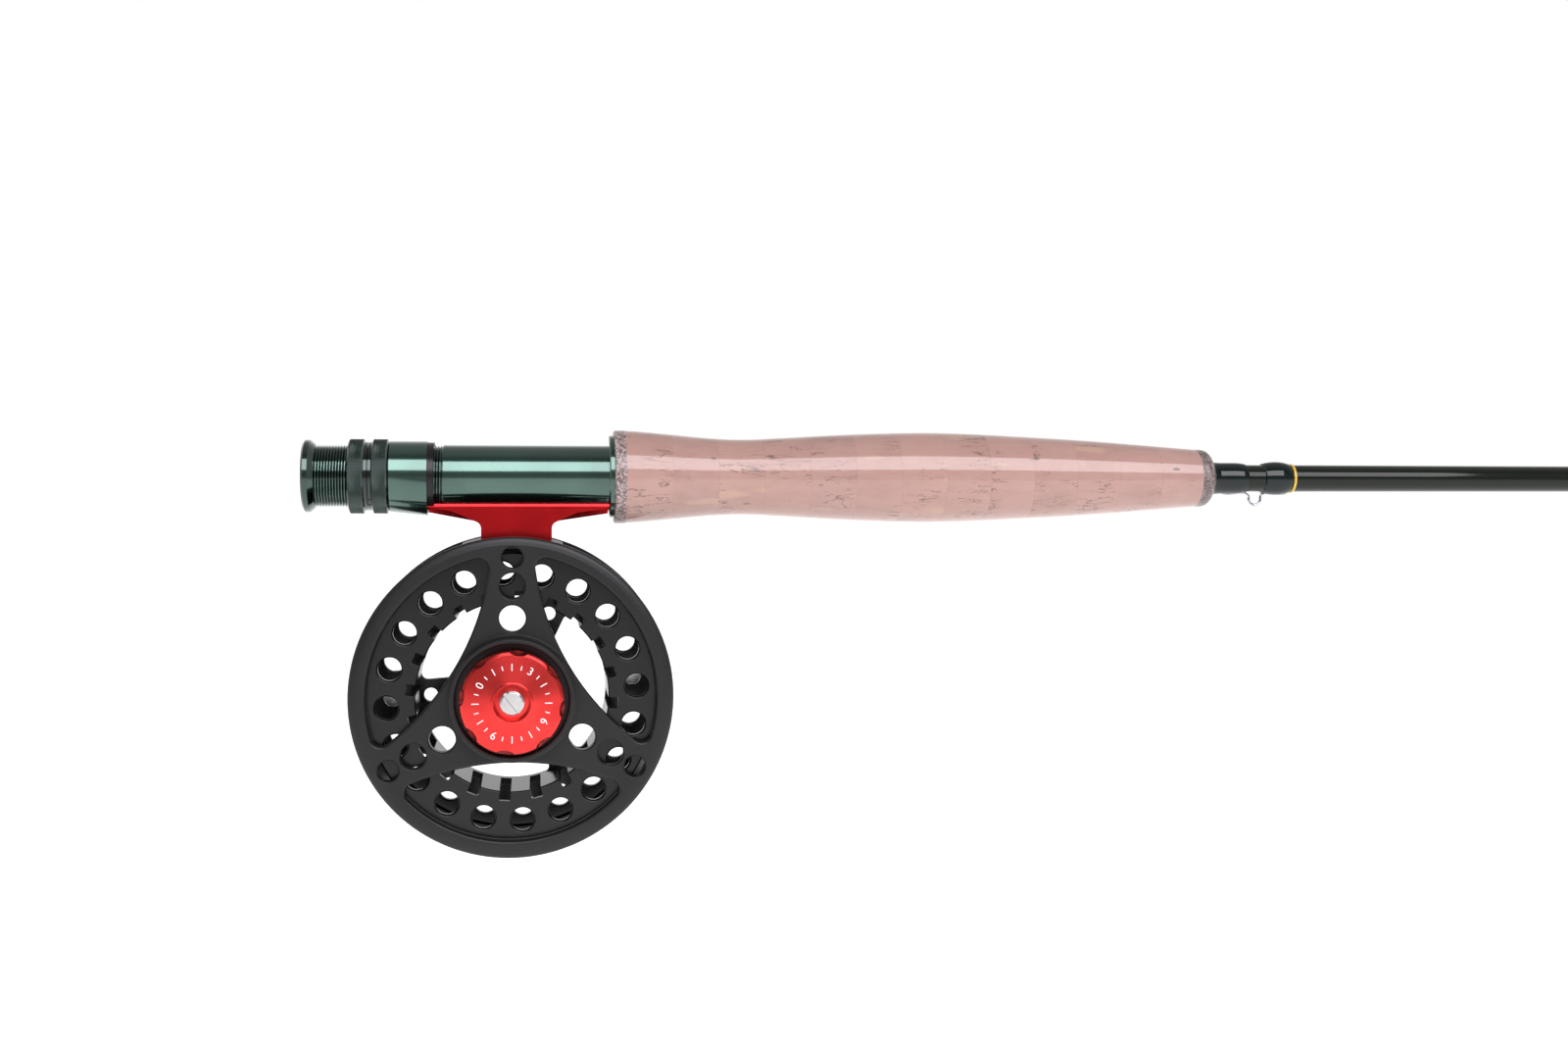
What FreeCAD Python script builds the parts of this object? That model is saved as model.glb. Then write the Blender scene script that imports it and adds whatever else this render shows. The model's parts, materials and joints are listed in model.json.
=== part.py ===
"""Single-handed fly rod in four sections with a large-arbor disc-drag fly reel on its seat.

The rod lies along +X from the butt cap's end face at the origin, and the reel hangs below it (-Z).
The reel's spindle runs along Y: the drag knob faces -Y and the winding handle is on the +Y side.
Sizes are in millimetres.
"""
import FreeCAD, Part
import math
import os
import Sketcher
from FreeCAD import Placement, Rotation, Vector

doc = FreeCAD.newDocument("fly_rod_and_reel")

# ---------------------------------------------------------------- driving dimensions
SIZES = {
    # reel seat at the butt of the rod
    "cap_length": 3.1, "cap_radius": 9.8, "cap_edge": 0.5, "plug_radius": 7.0, "plug_depth": 5.0,
    "seat_end": 90.8, "seat_radius": 8.55, "seat_bore": 7.3, "thread_end": 36.8, "thread_radius": 8.35,
    "ring_radius": 10.05, "ring_width": 4.2, "ring_collar": 0.9, "collar_radius": 9.3,
    "rear_ring_start": 11.9, "front_ring_start": 18.1,
    "hood_start": 22.4, "hood_length": 10.2, "hood_radius": 9.55, "swell_drop": 1.2,
    "bush_width": 1.7, "bush_radius": 9.2,
    "turn_clearance": 0.05, "slide_clearance": 0.3,
    "flange_start": 81.0, "flange_width": 1.4, "flange_radius": 11.4, "socket_radius": 11.1,
    # cork grip
    "trim_start": 82.4, "trim_width": 3.05, "cork_pitch": 12.54, "grip_heel_radius": 12.7,
    "grip_waist_radius": 10.4, "grip_swell_radius": 12.6, "grip_nose_radius": 8.25,
    "nose_trim_width": 5.0, "nose_trim_radius": 4.9,
    # blank: outside radii at stations along the rod
    "blank_start": 14.0, "butt_radius": 4.4, "keeper_station": 280.0, "keeper_radius": 3.87,
    "section_length": 601.0, "first_joint": 637.0, "ferrule_depth": 45.0, "ferrule_wall": 0.55,
    "joint_radius_one": 3.15, "joint_radius_two": 2.35, "joint_radius_three": 1.55,
    "tip_radius": 0.75, "rod_length": 2438.0, "blank_wall": 0.7,
    # foot of the reel
    "foot_start": 27.2, "foot_end": 86.2, "foot_half_width": 4.8, "foot_thickness": 1.0, "foot_tip": 0.7,
    "stem_start": 46.7, "stem_end": 65.6,
    # reel: stations are distances behind the plane 20 mm in front of the rod's axis
    "reel_x": 55.1, "reel_front": 20.0, "reel_drop": 58.6, "reel_radius": 42.85,
    "plate_front": 5.5, "plate_back": 8.5, "ring_inner": 38.2, "boss_front": 0.5, "boss_radius": 16.4,
    "knob_recess": 14.9, "recess_floor": 3.4, "cup_floor": 8.9, "cup_end": 12.8, "cup_radius": 11.0,
    "cup_bore": 9.4, "window_centre": 88.0, "window_radius": 70.8,
    "pillar_inner": 39.6, "pillar_outer": 42.65, "rear_ring_front": 29.5, "rear_ring_back": 32.5,
    "spool_front": 9.3, "spool_back": 32.4, "front_flange": 1.8, "rear_flange": 2.2, "spool_radius": 38.6,
    "lip_radius": 41.4,
    "arbor_inner": 25.5, "arbor_outer": 27.4, "spool_hub": 10.0, "clutch_bore": 7.6, "bearing_bore": 6.5,
    "web_front": 29.4, "web_back": 31.4, "hole_circle": 33.1, "hole_radius": 3.1, "hole_chamfer": 0.4,
    "slot_width": 3.0, "slot_reach": 28.1,
    "spindle_radius": 3.0, "spindle_thread": 2.5,
    "knob_front": -4.5, "knob_back": 3.0, "knob_radius": 13.6, "knob_well": 4.7,
    "handle_length": 15.3, "handle_radius": 5.6, "post_radius": 2.0,
}

sheet = doc.addObject("Spreadsheet::Sheet", "sizes")
for row, (alias, number) in enumerate(SIZES.items(), start=1):
    sheet.set(f"A{row}", alias)
    sheet.set(f"B{row}", str(number))
    sheet.setAlias(f"B{row}", alias)
doc.recompute()


class Size:
    """A length with the sheet expression that gives it, so that sums stay bound to the sheet."""

    def __init__(self, value, text):
        self.value = value
        self.text = text

    def __add__(self, other):
        other = as_size(other)
        return Size(self.value + other.value, f"({self.text} + {other.text})")

    def __sub__(self, other):
        other = as_size(other)
        return Size(self.value - other.value, f"({self.text} - {other.text})")

    def __mul__(self, factor):
        factor = as_size(factor)
        return Size(self.value * factor.value, f"({self.text} * {factor.text})")

    def __neg__(self):
        return Size(-self.value, f"(0 - {self.text})")

    __radd__ = __add__
    __rmul__ = __mul__

    def __rsub__(self, other):
        return as_size(other) - self

    def __float__(self):
        return float(self.value)


def as_size(number):
    """The number itself when it is a Size already, or a constant as a Size."""
    return number if isinstance(number, Size) else Size(float(number), f"{float(number):.6f}")


class Cells:
    """Gives each cell of the sheet as a Size, by its alias."""

    def __getattr__(self, alias):
        return Size(float(sheet.get(alias)), f"sizes.{alias}")


cell = Cells()


# ---------------------------------------------------------------- building helpers
def bind(obj, path, size):
    """Binds one property of an object to a Size."""
    obj.setExpression(path, as_size(size).text)


def place(obj, x=0, y=0, z=0, rotation=Rotation()):
    """Places an object, with its three coordinates bound to the sheet."""
    obj.Placement = Placement(Vector(float(x), float(y), float(z)), rotation)
    for letter, number in zip("xyz", (x, y, z)):
        if isinstance(number, Size):
            bind(obj, f"Placement.Base.{letter}", number)
    return obj


def on_reel(obj):
    """Stands a piece drawn along +X on the reel's spindle line, so that its +X points along +Y."""
    return place(obj, cell.reel_x, -cell.reel_front, -cell.reel_drop, Rotation(Vector(0, 0, 1), 90))


def around_reel(radius, angle):
    """Local y and z of a point round the spindle, at an angle seen from the drag knob's side."""
    turn = math.radians(angle)
    return radius * -math.cos(turn), radius * math.sin(turn)


def turned(label, outline, turn_name="turn"):
    """A body of revolution about X, from corner points (distance along X, radius)."""
    body = doc.addObject("PartDesign::Body", label)
    body.Label = label
    sketch = body.newObject("Sketcher::SketchObject", f"{label}_outline")
    plane = [feature for feature in body.Origin.OriginFeatures if feature.Role == "XZ_Plane"][0]
    sketch.AttachmentSupport = [(plane, "")]
    sketch.MapMode = "FlatFace"
    corners = [(as_size(x), as_size(radius)) for x, radius in outline]
    points = [Vector(x.value, radius.value, 0) for x, radius in corners]
    count = len(points)
    for index in range(count):
        sketch.addGeometry(Part.LineSegment(points[index], points[(index + 1) % count]), False)
    for index in range(count):
        sketch.addConstraint(Sketcher.Constraint("Coincident", index, 2, (index + 1) % count, 1))
    for index, (x, radius) in enumerate(corners):
        for kind, size in (("DistanceX", x), ("DistanceY", radius)):
            if size.value == 0:
                axis = -2 if kind == "DistanceX" else -1
                sketch.addConstraint(Sketcher.Constraint("PointOnObject", index, 1, axis))
            else:
                number = sketch.addConstraint(Sketcher.Constraint(kind, -1, 1, index, 1, size.value))
                sketch.setExpression(f"Constraints[{number}]", size.text)
    turn = body.newObject("PartDesign::Revolution", f"{label}_{turn_name}")
    turn.Profile = sketch
    turn.ReferenceAxis = (sketch, ["H_Axis"])
    turn.Angle = 360
    return body


def rod_along_x(name, radius, start, length, y=0, z=0):
    """A cylinder along X."""
    rod = doc.addObject("Part::Cylinder", name)
    bind(rod, "Radius", radius)
    bind(rod, "Height", length)
    return place(rod, start, y, z, Rotation(Vector(0, 1, 0), 90))


def cone_along_x(name, first_radius, last_radius, start, length, y=0, z=0):
    """A cone frustum along X."""
    cone = doc.addObject("Part::Cone", name)
    bind(cone, "Radius1", first_radius)
    bind(cone, "Radius2", last_radius)
    bind(cone, "Height", length)
    return place(cone, start, y, z, Rotation(Vector(0, 1, 0), 90))


def block(name, length, width, height, x=0, y=0, z=0, rotation=Rotation()):
    """A box with one corner at x, y, z."""
    box = doc.addObject("Part::Box", name)
    bind(box, "Length", length)
    bind(box, "Width", width)
    bind(box, "Height", height)
    return place(box, x, y, z, rotation)


def joined(label, pieces):
    """Several solids fused into one."""
    fuse = doc.addObject("Part::MultiFuse", label)
    fuse.Shapes = pieces
    fuse.Refine = True
    fuse.Label = label
    return fuse


def cut(label, base, tools):
    """A solid with the tools cut away."""
    tool = tools[0] if len(tools) == 1 else joined(f"{label}_cutters", tools)
    result = doc.addObject("Part::Cut", label)
    result.Base = base
    result.Tool = tool
    result.Refine = True
    result.Label = label
    return result


def shared(label, base, tools):
    """The common part of solids."""
    result = doc.addObject("Part::MultiCommon", label)
    result.Shapes = [base] + tools
    result.Label = label
    return result


def group(label, pieces):
    """Identical pieces kept as separate solids of one node."""
    result = doc.addObject("Part::Compound", label)
    result.Links = pieces
    result.Label = label
    return result


def computed(label, shape):
    """A node whose shape comes from a formula."""
    result = doc.addObject("Part::Feature", label)
    result.Label = label
    result.Shape = shape
    return result


nodes = {}


def keep(node):
    """Adds a finished piece to the list of nodes written at the end."""
    nodes[node.Label] = node
    return node


# ---------------------------------------------------------------- reel seat
def make_seat():
    cap_end = cell.cap_length
    keep(turned("butt_cap", [
        (0, 0), (0, cell.cap_radius - cell.cap_edge), (cell.cap_edge, cell.cap_radius),
        (1.7, cell.cap_radius), (cap_end, cell.thread_radius + 0.25), (cap_end, cell.plug_radius),
        (cap_end + cell.plug_depth, cell.plug_radius), (cap_end + cell.plug_depth, 0)]))

    outline = [
        (cap_end, cell.seat_bore), (cap_end, cell.thread_radius), (cell.thread_end, cell.thread_radius),
        (cell.thread_end, cell.seat_radius), (cell.seat_end, cell.seat_radius),
        (cell.seat_end, cell.seat_bore)]
    keep(turned("seat_barrel", outline))

    keep(turned("seat_arbor", [
        (16, cell.butt_radius), (16, cell.seat_bore), (80, cell.seat_bore), (80, cell.butt_radius)]))


def lock_ring(label, start, collar_side):
    """A threaded ring with chamfered rims and a narrow collar on one side."""
    end = start + cell.ring_width
    bore = cell.thread_radius + cell.turn_clearance
    rim = cell.ring_radius - 0.35
    outline = [(start, bore), (start, rim), (start + 0.35, cell.ring_radius),
               (end - 0.35, cell.ring_radius), (end, rim), (end, bore)]
    if collar_side == "front":
        tip = end + cell.ring_collar
        outline = outline[:-1] + [(end, cell.collar_radius), (tip, cell.collar_radius), (tip, bore)]
    else:
        tip = start - cell.ring_collar
        outline = [(tip, bore), (tip, cell.collar_radius), (start, cell.collar_radius)] + outline[1:]
    return keep(turned(label, outline))


def hood_section(x, drop):
    """The hood's outside at a station: a circle whose lower half is moved down by the drop."""
    radius = float(cell.hood_radius)
    left = Vector(x, -radius, 0)
    right = Vector(x, radius, 0)
    down = Vector(0, 0, -drop)
    return Part.Wire([
        Part.Arc(right, Vector(x, 0, radius), left).toShape(),
        Part.makeLine(left, left + down),
        Part.Arc(left + down, Vector(x, 0, -radius - drop), right + down).toShape(),
        Part.makeLine(right + down, right)])


def make_hood():
    """Sliding hood: a ring with a pocket below it that takes the end of the reel's foot."""
    start = cell.hood_start
    end = start + cell.hood_length
    edge = 0.3
    drop = float(cell.swell_drop)
    sections = [hood_section(float(start), drop / 20), hood_section(float(end), drop)]
    swell = computed("hood_swell", Part.makeLoft(sections, True, True))
    limits = turned("hood_limits", [
        (start, 0), (start, cell.hood_radius - edge), (start + edge, cell.hood_radius + 0.03),
        (start + edge * 2, cell.hood_radius + 3), (end, cell.hood_radius + 3), (end, 0)])
    outside = shared("hood_outside", swell, [limits])
    bore = rod_along_x("hood_bore", cell.seat_radius + cell.turn_clearance, start - 1, cell.hood_length + 2)
    gap = cell.slide_clearance
    pocket_start = cell.foot_start - gap
    mouth_length = end - pocket_start
    pocket_round = cone_along_x("pocket_round", cell.seat_radius + cell.foot_tip + gap,
                                cell.seat_radius + cell.foot_thickness + gap, pocket_start, mouth_length)
    pocket_sides = block("pocket_sides", mouth_length, (cell.foot_half_width + gap) * 2, 12,
                         pocket_start, -(cell.foot_half_width + gap), -12)
    pocket = shared("hood_pocket", pocket_round, [pocket_sides])
    keep(cut("sliding_hood", outside, [bore, pocket]))

    bush = turned("bush_ring", [
        (end, cell.seat_radius + cell.turn_clearance), (end, cell.bush_radius),
        (end + cell.bush_width, cell.bush_radius),
        (end + cell.bush_width, cell.seat_radius + cell.turn_clearance)])
    mouth = block("bush_gap", cell.bush_width + 2, (cell.foot_half_width + gap) * 2, 12,
                  end - 1, -(cell.foot_half_width + gap), -12)
    keep(cut("hood_bush", bush, [mouth]))


def make_fixed_hood():
    """Fixed hood: a flange at the grip with a socket that reaches into the cork."""
    start = cell.flange_start
    socket_end = cell.seat_end + 2
    body = turned("fixed_hood_ring", [
        (start, cell.seat_radius), (start, cell.flange_radius - 0.3), (start + 0.3, cell.flange_radius),
        (start + cell.flange_width, cell.flange_radius), (start + cell.flange_width, cell.socket_radius),
        (socket_end, cell.socket_radius), (socket_end, cell.seat_radius)])
    mouth_length = cell.foot_end - start + 0.1
    socket = shared("fixed_socket",
                    joined("socket_space", [
                        cone_along_x("socket_round", cell.seat_radius + cell.foot_thickness,
                                     cell.seat_radius + cell.foot_tip, start, mouth_length),
                        rod_along_x("socket_mouth", cell.seat_radius + cell.foot_thickness, start - 1, 1)]),
                    [block("socket_sides", 20, cell.foot_half_width * 2, 12, start - 1,
                           -cell.foot_half_width, -12)])
    keep(cut("fixed_hood", body, [socket]))


# ---------------------------------------------------------------- cork grip
CORK_RINGS = 13


def grip_curve():
    """The outside line of the cork as one spline of (x, radius) points."""
    start = float(cell.trim_start + cell.trim_width)
    length = CORK_RINGS * float(cell.cork_pitch)
    heel = float(cell.grip_heel_radius)
    waist = float(cell.grip_waist_radius)
    swell = float(cell.grip_swell_radius)
    nose = float(cell.grip_nose_radius)
    shape = [(0.0, heel), (0.044, heel - 0.5), (0.117, waist + 0.7), (0.187, waist),
             (0.258, waist + 0.42), (0.354, waist + 1.35), (0.45, swell - 0.2), (0.52, swell),
             (0.6, swell - 0.3), (0.7, swell - 1.05), (0.8, swell - 1.95), (0.895, nose + 1.3), (1.0, nose)]
    curve = Part.BSplineCurve()
    curve.interpolate([Vector(start + share * length, 0, radius) for share, radius in shape])
    return curve, start, length


def make_grip():
    curve, start, length = grip_curve()
    bore = float(cell.butt_radius)
    first = curve.StartPoint
    last = curve.EndPoint
    edges = [curve.toShape(), Part.makeLine(last, Vector(last.x, 0, bore)),
             Part.makeLine(Vector(last.x, 0, bore), Vector(first.x, 0, bore)),
             Part.makeLine(Vector(first.x, 0, bore), first)]
    solid = Part.Face(Part.Wire(edges)).revolve(Vector(0, 0, 0), Vector(1, 0, 0), 360)
    solid = Part.Solid(Part.Shell(solid.Faces)) if solid.ShapeType != "Solid" else solid
    socket_end = float(cell.seat_end) + 2
    socket = Part.makeCylinder(float(cell.socket_radius), socket_end, Vector(0, 0, 0), Vector(1, 0, 0))
    solid = solid.cut(socket)
    rings = []
    for number in range(CORK_RINGS):
        ring_start = start + number * float(cell.cork_pitch)
        slab = Part.makeBox(float(cell.cork_pitch), 60, 60, Vector(ring_start, -30, -30))
        rings += solid.common(slab).Solids
    keep(computed("cork_rings", Part.Compound(rings)))

    trim = cell.trim_start
    keep(turned("rear_trim_ring", [
        (trim, cell.socket_radius), (trim, cell.grip_heel_radius - 0.35),
        (trim + 0.35, cell.grip_heel_radius), (trim + cell.trim_width, cell.grip_heel_radius),
        (trim + cell.trim_width, cell.socket_radius)]))
    nose = trim + cell.trim_width + cell.cork_pitch * CORK_RINGS
    end = nose + cell.nose_trim_width
    keep(turned("front_trim_ring", [
        (nose, cell.butt_radius), (nose, cell.grip_nose_radius), (end - 2.9, cell.grip_nose_radius - 0.12),
        (end - 2.0, cell.grip_nose_radius - 0.42), (end - 1.2, cell.grip_nose_radius - 1.15),
        (end - 0.6, cell.grip_nose_radius - 2.1), (end - 0.2, cell.grip_nose_radius - 2.95),
        (end, cell.nose_trim_radius), (end, cell.butt_radius)]))


# ---------------------------------------------------------------- blank
def make_sections():
    """Four hollow tapered sections. Each thin end fits inside the wide end of the next."""
    joints = [cell.first_joint, cell.first_joint + cell.section_length,
              cell.first_joint + cell.section_length * 2]
    radii = [cell.joint_radius_one, cell.joint_radius_two, cell.joint_radius_three]
    wall = cell.blank_wall
    nose = cell.trim_start + cell.trim_width + cell.cork_pitch * CORK_RINGS + cell.nose_trim_width
    keep(turned("butt_section", [
        (cell.blank_start, cell.butt_radius - wall), (cell.blank_start, cell.butt_radius),
        (nose, cell.butt_radius), (nose, cell.keeper_radius), (cell.keeper_station, cell.keeper_radius),
        (joints[0] - 1, cell.joint_radius_one + 0.35), (joints[0], cell.joint_radius_one),
        (joints[0] + cell.ferrule_depth, cell.joint_radius_one),
        (joints[0] + cell.ferrule_depth, cell.joint_radius_one - wall)]))
    names = ["second_section", "third_section"]
    for name, joint, radius, far_joint, far_radius in zip(
            names, joints[:2], radii[:2], joints[1:], radii[1:]):
        bore = radius + cell.turn_clearance
        sleeve = bore + cell.ferrule_wall
        socket_end = joint + cell.ferrule_depth + 2
        keep(turned(name, [
            (joint + 0.3, bore), (joint + 0.3, sleeve), (socket_end, sleeve),
            (socket_end + 18, radius + 0.1),
            (far_joint - 1, far_radius + 0.3), (far_joint, far_radius),
            (far_joint + cell.ferrule_depth, far_radius),
            (far_joint + cell.ferrule_depth, far_radius - wall),
            (socket_end, radius - wall), (socket_end, bore)]))
    bore = radii[2] + cell.turn_clearance
    socket_end = joints[2] + cell.ferrule_depth + 2
    keep(turned("tip_section", [
        (joints[2] + 0.3, bore), (joints[2] + 0.3, bore + cell.ferrule_wall),
        (socket_end, bore + cell.ferrule_wall), (socket_end + 18, radii[2] + 0.1),
        (cell.rod_length - 12, cell.tip_radius), (cell.rod_length - 2, cell.tip_radius),
        (cell.rod_length - 2, 0), (socket_end, 0), (socket_end, bore)]))


def blank_radius(x):
    """Outside radius of the bare blank at a station, on the straight tapers of the sections."""
    joints = [float(cell.first_joint) + number * float(cell.section_length) for number in range(3)]
    sockets = [joint + float(cell.ferrule_depth) + 20 for joint in joints]
    spans = [
        (float(cell.keeper_station), float(cell.keeper_radius),
         joints[0] - 1, float(cell.joint_radius_one) + 0.35),
        (sockets[0], float(cell.joint_radius_one) + 0.1, joints[1] - 1, float(cell.joint_radius_two) + 0.3),
        (sockets[1], float(cell.joint_radius_two) + 0.1, joints[2] - 1, float(cell.joint_radius_three) + 0.3),
        (sockets[2], float(cell.joint_radius_three) + 0.1, float(cell.rod_length) - 12,
         float(cell.tip_radius))]
    for start, first, end, last in spans:
        if start <= x <= end:
            return first + (last - first) * (x - start) / (end - start)
    raise ValueError(f"no plain blank at {x}")


def sleeve_on_blank(start, end, thickness, blend=1.2):
    """A thread winding sealed in resin: a sleeve on the tapered blank with rounded-off ends."""
    outline = [(start, blank_radius(start)), (start + blend, blank_radius(start + blend) + thickness),
               (end - blend, blank_radius(end - blend) + thickness), (end, blank_radius(end))]
    wire = Part.makePolygon([Vector(x, 0, radius) for x, radius in outline + outline[:1]])
    return Part.Face(wire).revolve(Vector(0, 0, 0), Vector(1, 0, 0), 360)


def wire_along(points, radius):
    """A round wire along a smooth line through the points."""
    curve = Part.BSplineCurve()
    curve.interpolate([Vector(*point) for point in points])
    path = Part.Wire(curve.toShape())
    start = curve.value(curve.FirstParameter)
    heading = curve.tangent(curve.FirstParameter)[0]
    section = Part.Wire(Part.makeCircle(radius, start, heading))
    return path.makePipeShell([section], True, False)


def snake_guide(x, height, wire):
    """A bent-wire line guide below the blank: two feet and an arch that crosses the rod's line."""
    half = height * 0.62
    points = []
    for share, y, rise in ((-2.9, 0, 0), (-2.1, 0, 0), (-1.35, 0, 0), (-0.75, 0.72, 0.12),
                           (-0.38, 0.95, 0.52), (0, 0, 1.0), (0.38, -0.95, 0.52), (0.75, -0.72, 0.12),
                           (1.35, 0, 0), (2.1, 0, 0), (2.9, 0, 0)):
        station = x + share * height
        drop = blank_radius(station) + wire
        points.append((station, y * half, -drop - rise * (height - wire)))
    return wire_along(points, wire)


def make_snake_guides():
    """Groups of snake guides and their windings, one group for each section that carries them."""
    plan = {
        "second_section": [(860.0, 5.6, 0.5), (1100.0, 5.2, 0.48)],
        "third_section": [(1325.0, 4.9, 0.45), (1530.0, 4.6, 0.42), (1720.0, 4.4, 0.4)],
        "tip_section": [(1925.0, 4.2, 0.38), (2070.0, 4.1, 0.38), (2200.0, 4.0, 0.36), (2320.0, 4.0, 0.36)],
    }
    for section, guides in plan.items():
        wires = []
        windings = []
        for x, height, wire in guides:
            guide = snake_guide(x, height, wire)
            wires.append(guide)
            for side in (-1, 1):
                ends = sorted((x + side * 1.45 * height, x + side * 3.3 * height))
                sleeve = sleeve_on_blank(ends[0], ends[1], wire * 2 + 0.25)
                windings += sleeve.cut(guide).Solids
        keep(computed(f"{section}_guides", Part.Compound(wires)))
        keep(computed(f"{section}_windings", Part.Compound(windings)))


def make_stripping_guide():
    """The large first guide: a ring insert in a wire frame with two feet."""
    x = 600.0
    ring_drop = 12.0
    inner = 4.6
    middle = 5.25
    outer = 6.0
    bore = Part.makeCylinder(inner, 1.6, Vector(x - 0.8, 0, -ring_drop), Vector(1, 0, 0))
    seat = Part.makeCylinder(middle, 1.6, Vector(x - 0.8, 0, -ring_drop), Vector(1, 0, 0))
    insert = seat.cut(bore)
    insert = insert.makeFillet(0.25, [edge for edge in insert.Edges if edge.Closed])
    keep(computed("stripping_ring", insert))

    frame = Part.makeCylinder(outer, 1.1, Vector(x - 0.55, 0, -ring_drop), Vector(1, 0, 0)).cut(
        Part.makeCylinder(middle, 3, Vector(x - 1.5, 0, -ring_drop), Vector(1, 0, 0)))
    wire = 0.55
    foot_drop = blank_radius(x - 28) + wire
    feet = []
    legs = []
    for side in (-1, 1):
        bend = x + side * 11
        start = min(bend, x + side * 26)
        feet.append(Part.makeCylinder(wire, 15, Vector(start, 0, -foot_drop), Vector(1, 0, 0)))
        legs.append(Part.makeSphere(wire * 1.12, Vector(bend, 0, -foot_drop)))
        for hand in (-1, 1):
            legs.append(wire_along([(bend, 0, -foot_drop), (x + side * 8.5, hand * 1.1, -foot_drop - 0.7),
                                    (x + side * 4.5, hand * 3.4, -foot_drop - 3.2),
                                    (x + side * 0.3, hand * 5.2, -ring_drop + 2.1)], wire))
    body = frame.fuse(feet + legs).cut(seat)
    keep(computed("stripping_guide", body.removeSplitter()))
    windings = []
    for side in (-1, 1):
        ends = sorted((x + side * 13.5, x + side * 28.5))
        windings += sleeve_on_blank(ends[0], ends[1], wire * 2 + 0.45).cut(feet).Solids
    joint = float(cell.first_joint)
    windings += sleeve_on_blank(joint - 9, joint - 1.5, 0.35).Solids
    keep(computed("butt_section_windings", Part.Compound(windings)))


def make_ferrule_windings():
    """Thread windings that reinforce the wide end of each upper section."""
    joints = [float(cell.first_joint) + number * float(cell.section_length) for number in range(3)]
    radii = [float(cell.joint_radius_one), float(cell.joint_radius_two), float(cell.joint_radius_three)]
    names = ["second_ferrule_winding", "third_ferrule_winding", "tip_ferrule_winding"]
    for name, joint, radius in zip(names, joints, radii):
        sleeve = radius + float(cell.turn_clearance) + float(cell.ferrule_wall)
        keep(turned(name, [
            (joint + 0.3, sleeve), (joint + 0.5, sleeve + 0.3), (joint + 13.5, sleeve + 0.35),
            (joint + 15, sleeve)]))


def make_tip_top():
    """Tip-top: a short tube on the end of the rod that carries a small ring."""
    end = cell.rod_length
    keep(turned("tip_tube", [
        (end - 11, cell.tip_radius), (end - 11, cell.tip_radius + 0.3), (end, cell.tip_radius + 0.3),
        (end, 0), (end - 2, 0), (end - 2, cell.tip_radius)]))
    x = float(end) - 0.2
    drop = 4.7
    wire = 0.45
    inner = 2.2
    loop = Part.makeTorus(inner + wire, wire, Vector(x + 1.2, 0, -drop), Vector(1, 0, -0.15))
    stays = [wire_along([(x - 9, hand * 0.25, -1.3), (x - 5, hand * 0.9, -1.6),
                         (x - 1.5, hand * 1.8, -2.5), (x + 1.1, hand * 2.35, -drop + 1.2)], 0.3)
             for hand in (-1, 1)]
    tube = Part.makeCylinder(float(cell.tip_radius) + 0.3, 12, Vector(float(end) - 11, 0, 0), Vector(1, 0, 0))
    keep(computed("tip_ring", loop.fuse(stays).cut(tube).removeSplitter()))


def make_keeper():
    """Small wire loop in front of the grip for parking the hook, with a winding over each foot."""
    wire = 0.4
    x = 267.0
    radius = float(cell.keeper_radius)
    drop = radius + wire
    depth = 3.8
    half = 1.75
    points = [(x - 9.5, 0, -drop), (x - 6, 0, -drop), (x - 3.1, 0, -drop), (x - half - 0.05, 0, -drop - 1.0),
              (x - half, 0, -drop - 2.0), (x, 0, -drop - depth + 0.4),
              (x + half, 0, -drop - 2.0), (x + half + 0.05, 0, -drop - 1.0),
              (x + 3.1, 0, -drop), (x + 6, 0, -drop), (x + 9.5, 0, -drop)]
    core = Part.makeCylinder(radius, 30, Vector(x - 15, 0, 0), Vector(1, 0, 0))
    loop = wire_along(points, wire).cut(core)
    keep(computed("hook_keeper", loop))

    windings = [
        [(-13.5, 1.0), (-12.8, 0.82), (-11.8, 0.68), (-10.6, 0.61), (-9.0, 0.61), (-7.0, 0.62),
         (-5.8, 0.6), (-4.7, 0.53), (-3.9, 0.42), (-3.3, 0.28), (-3.1, 0.03)],
        [(1.9, 0.03), (2.1, 0.38), (3.0, 0.62), (4.2, 0.82), (5.6, 0.94), (6.9, 0.93), (8.1, 0.8),
         (9.1, 0.6), (9.9, 0.34), (10.3, 0.03)]]
    pieces = []
    for winding in windings:
        outline = [Vector(x + along, 0, radius + height) for along, height in winding]
        outline = [Vector(outline[0].x, 0, radius - 1)] + outline + [Vector(outline[-1].x, 0, radius - 1)]
        face = Part.Face(Part.makePolygon(outline + outline[:1]))
        sleeve = face.revolve(Vector(0, 0, 0), Vector(1, 0, 0), 360)
        pieces += sleeve.cut([core, loop]).Solids
    keep(computed("keeper_windings", Part.Compound(pieces)))

    band = cell.keeper_radius + 0.3
    start = x + 10.4
    keep(turned("gold_band", [
        (start, cell.keeper_radius), (start + 0.1, band), (start + 0.7, band),
        (start + 0.8, cell.keeper_radius)]))


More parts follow.
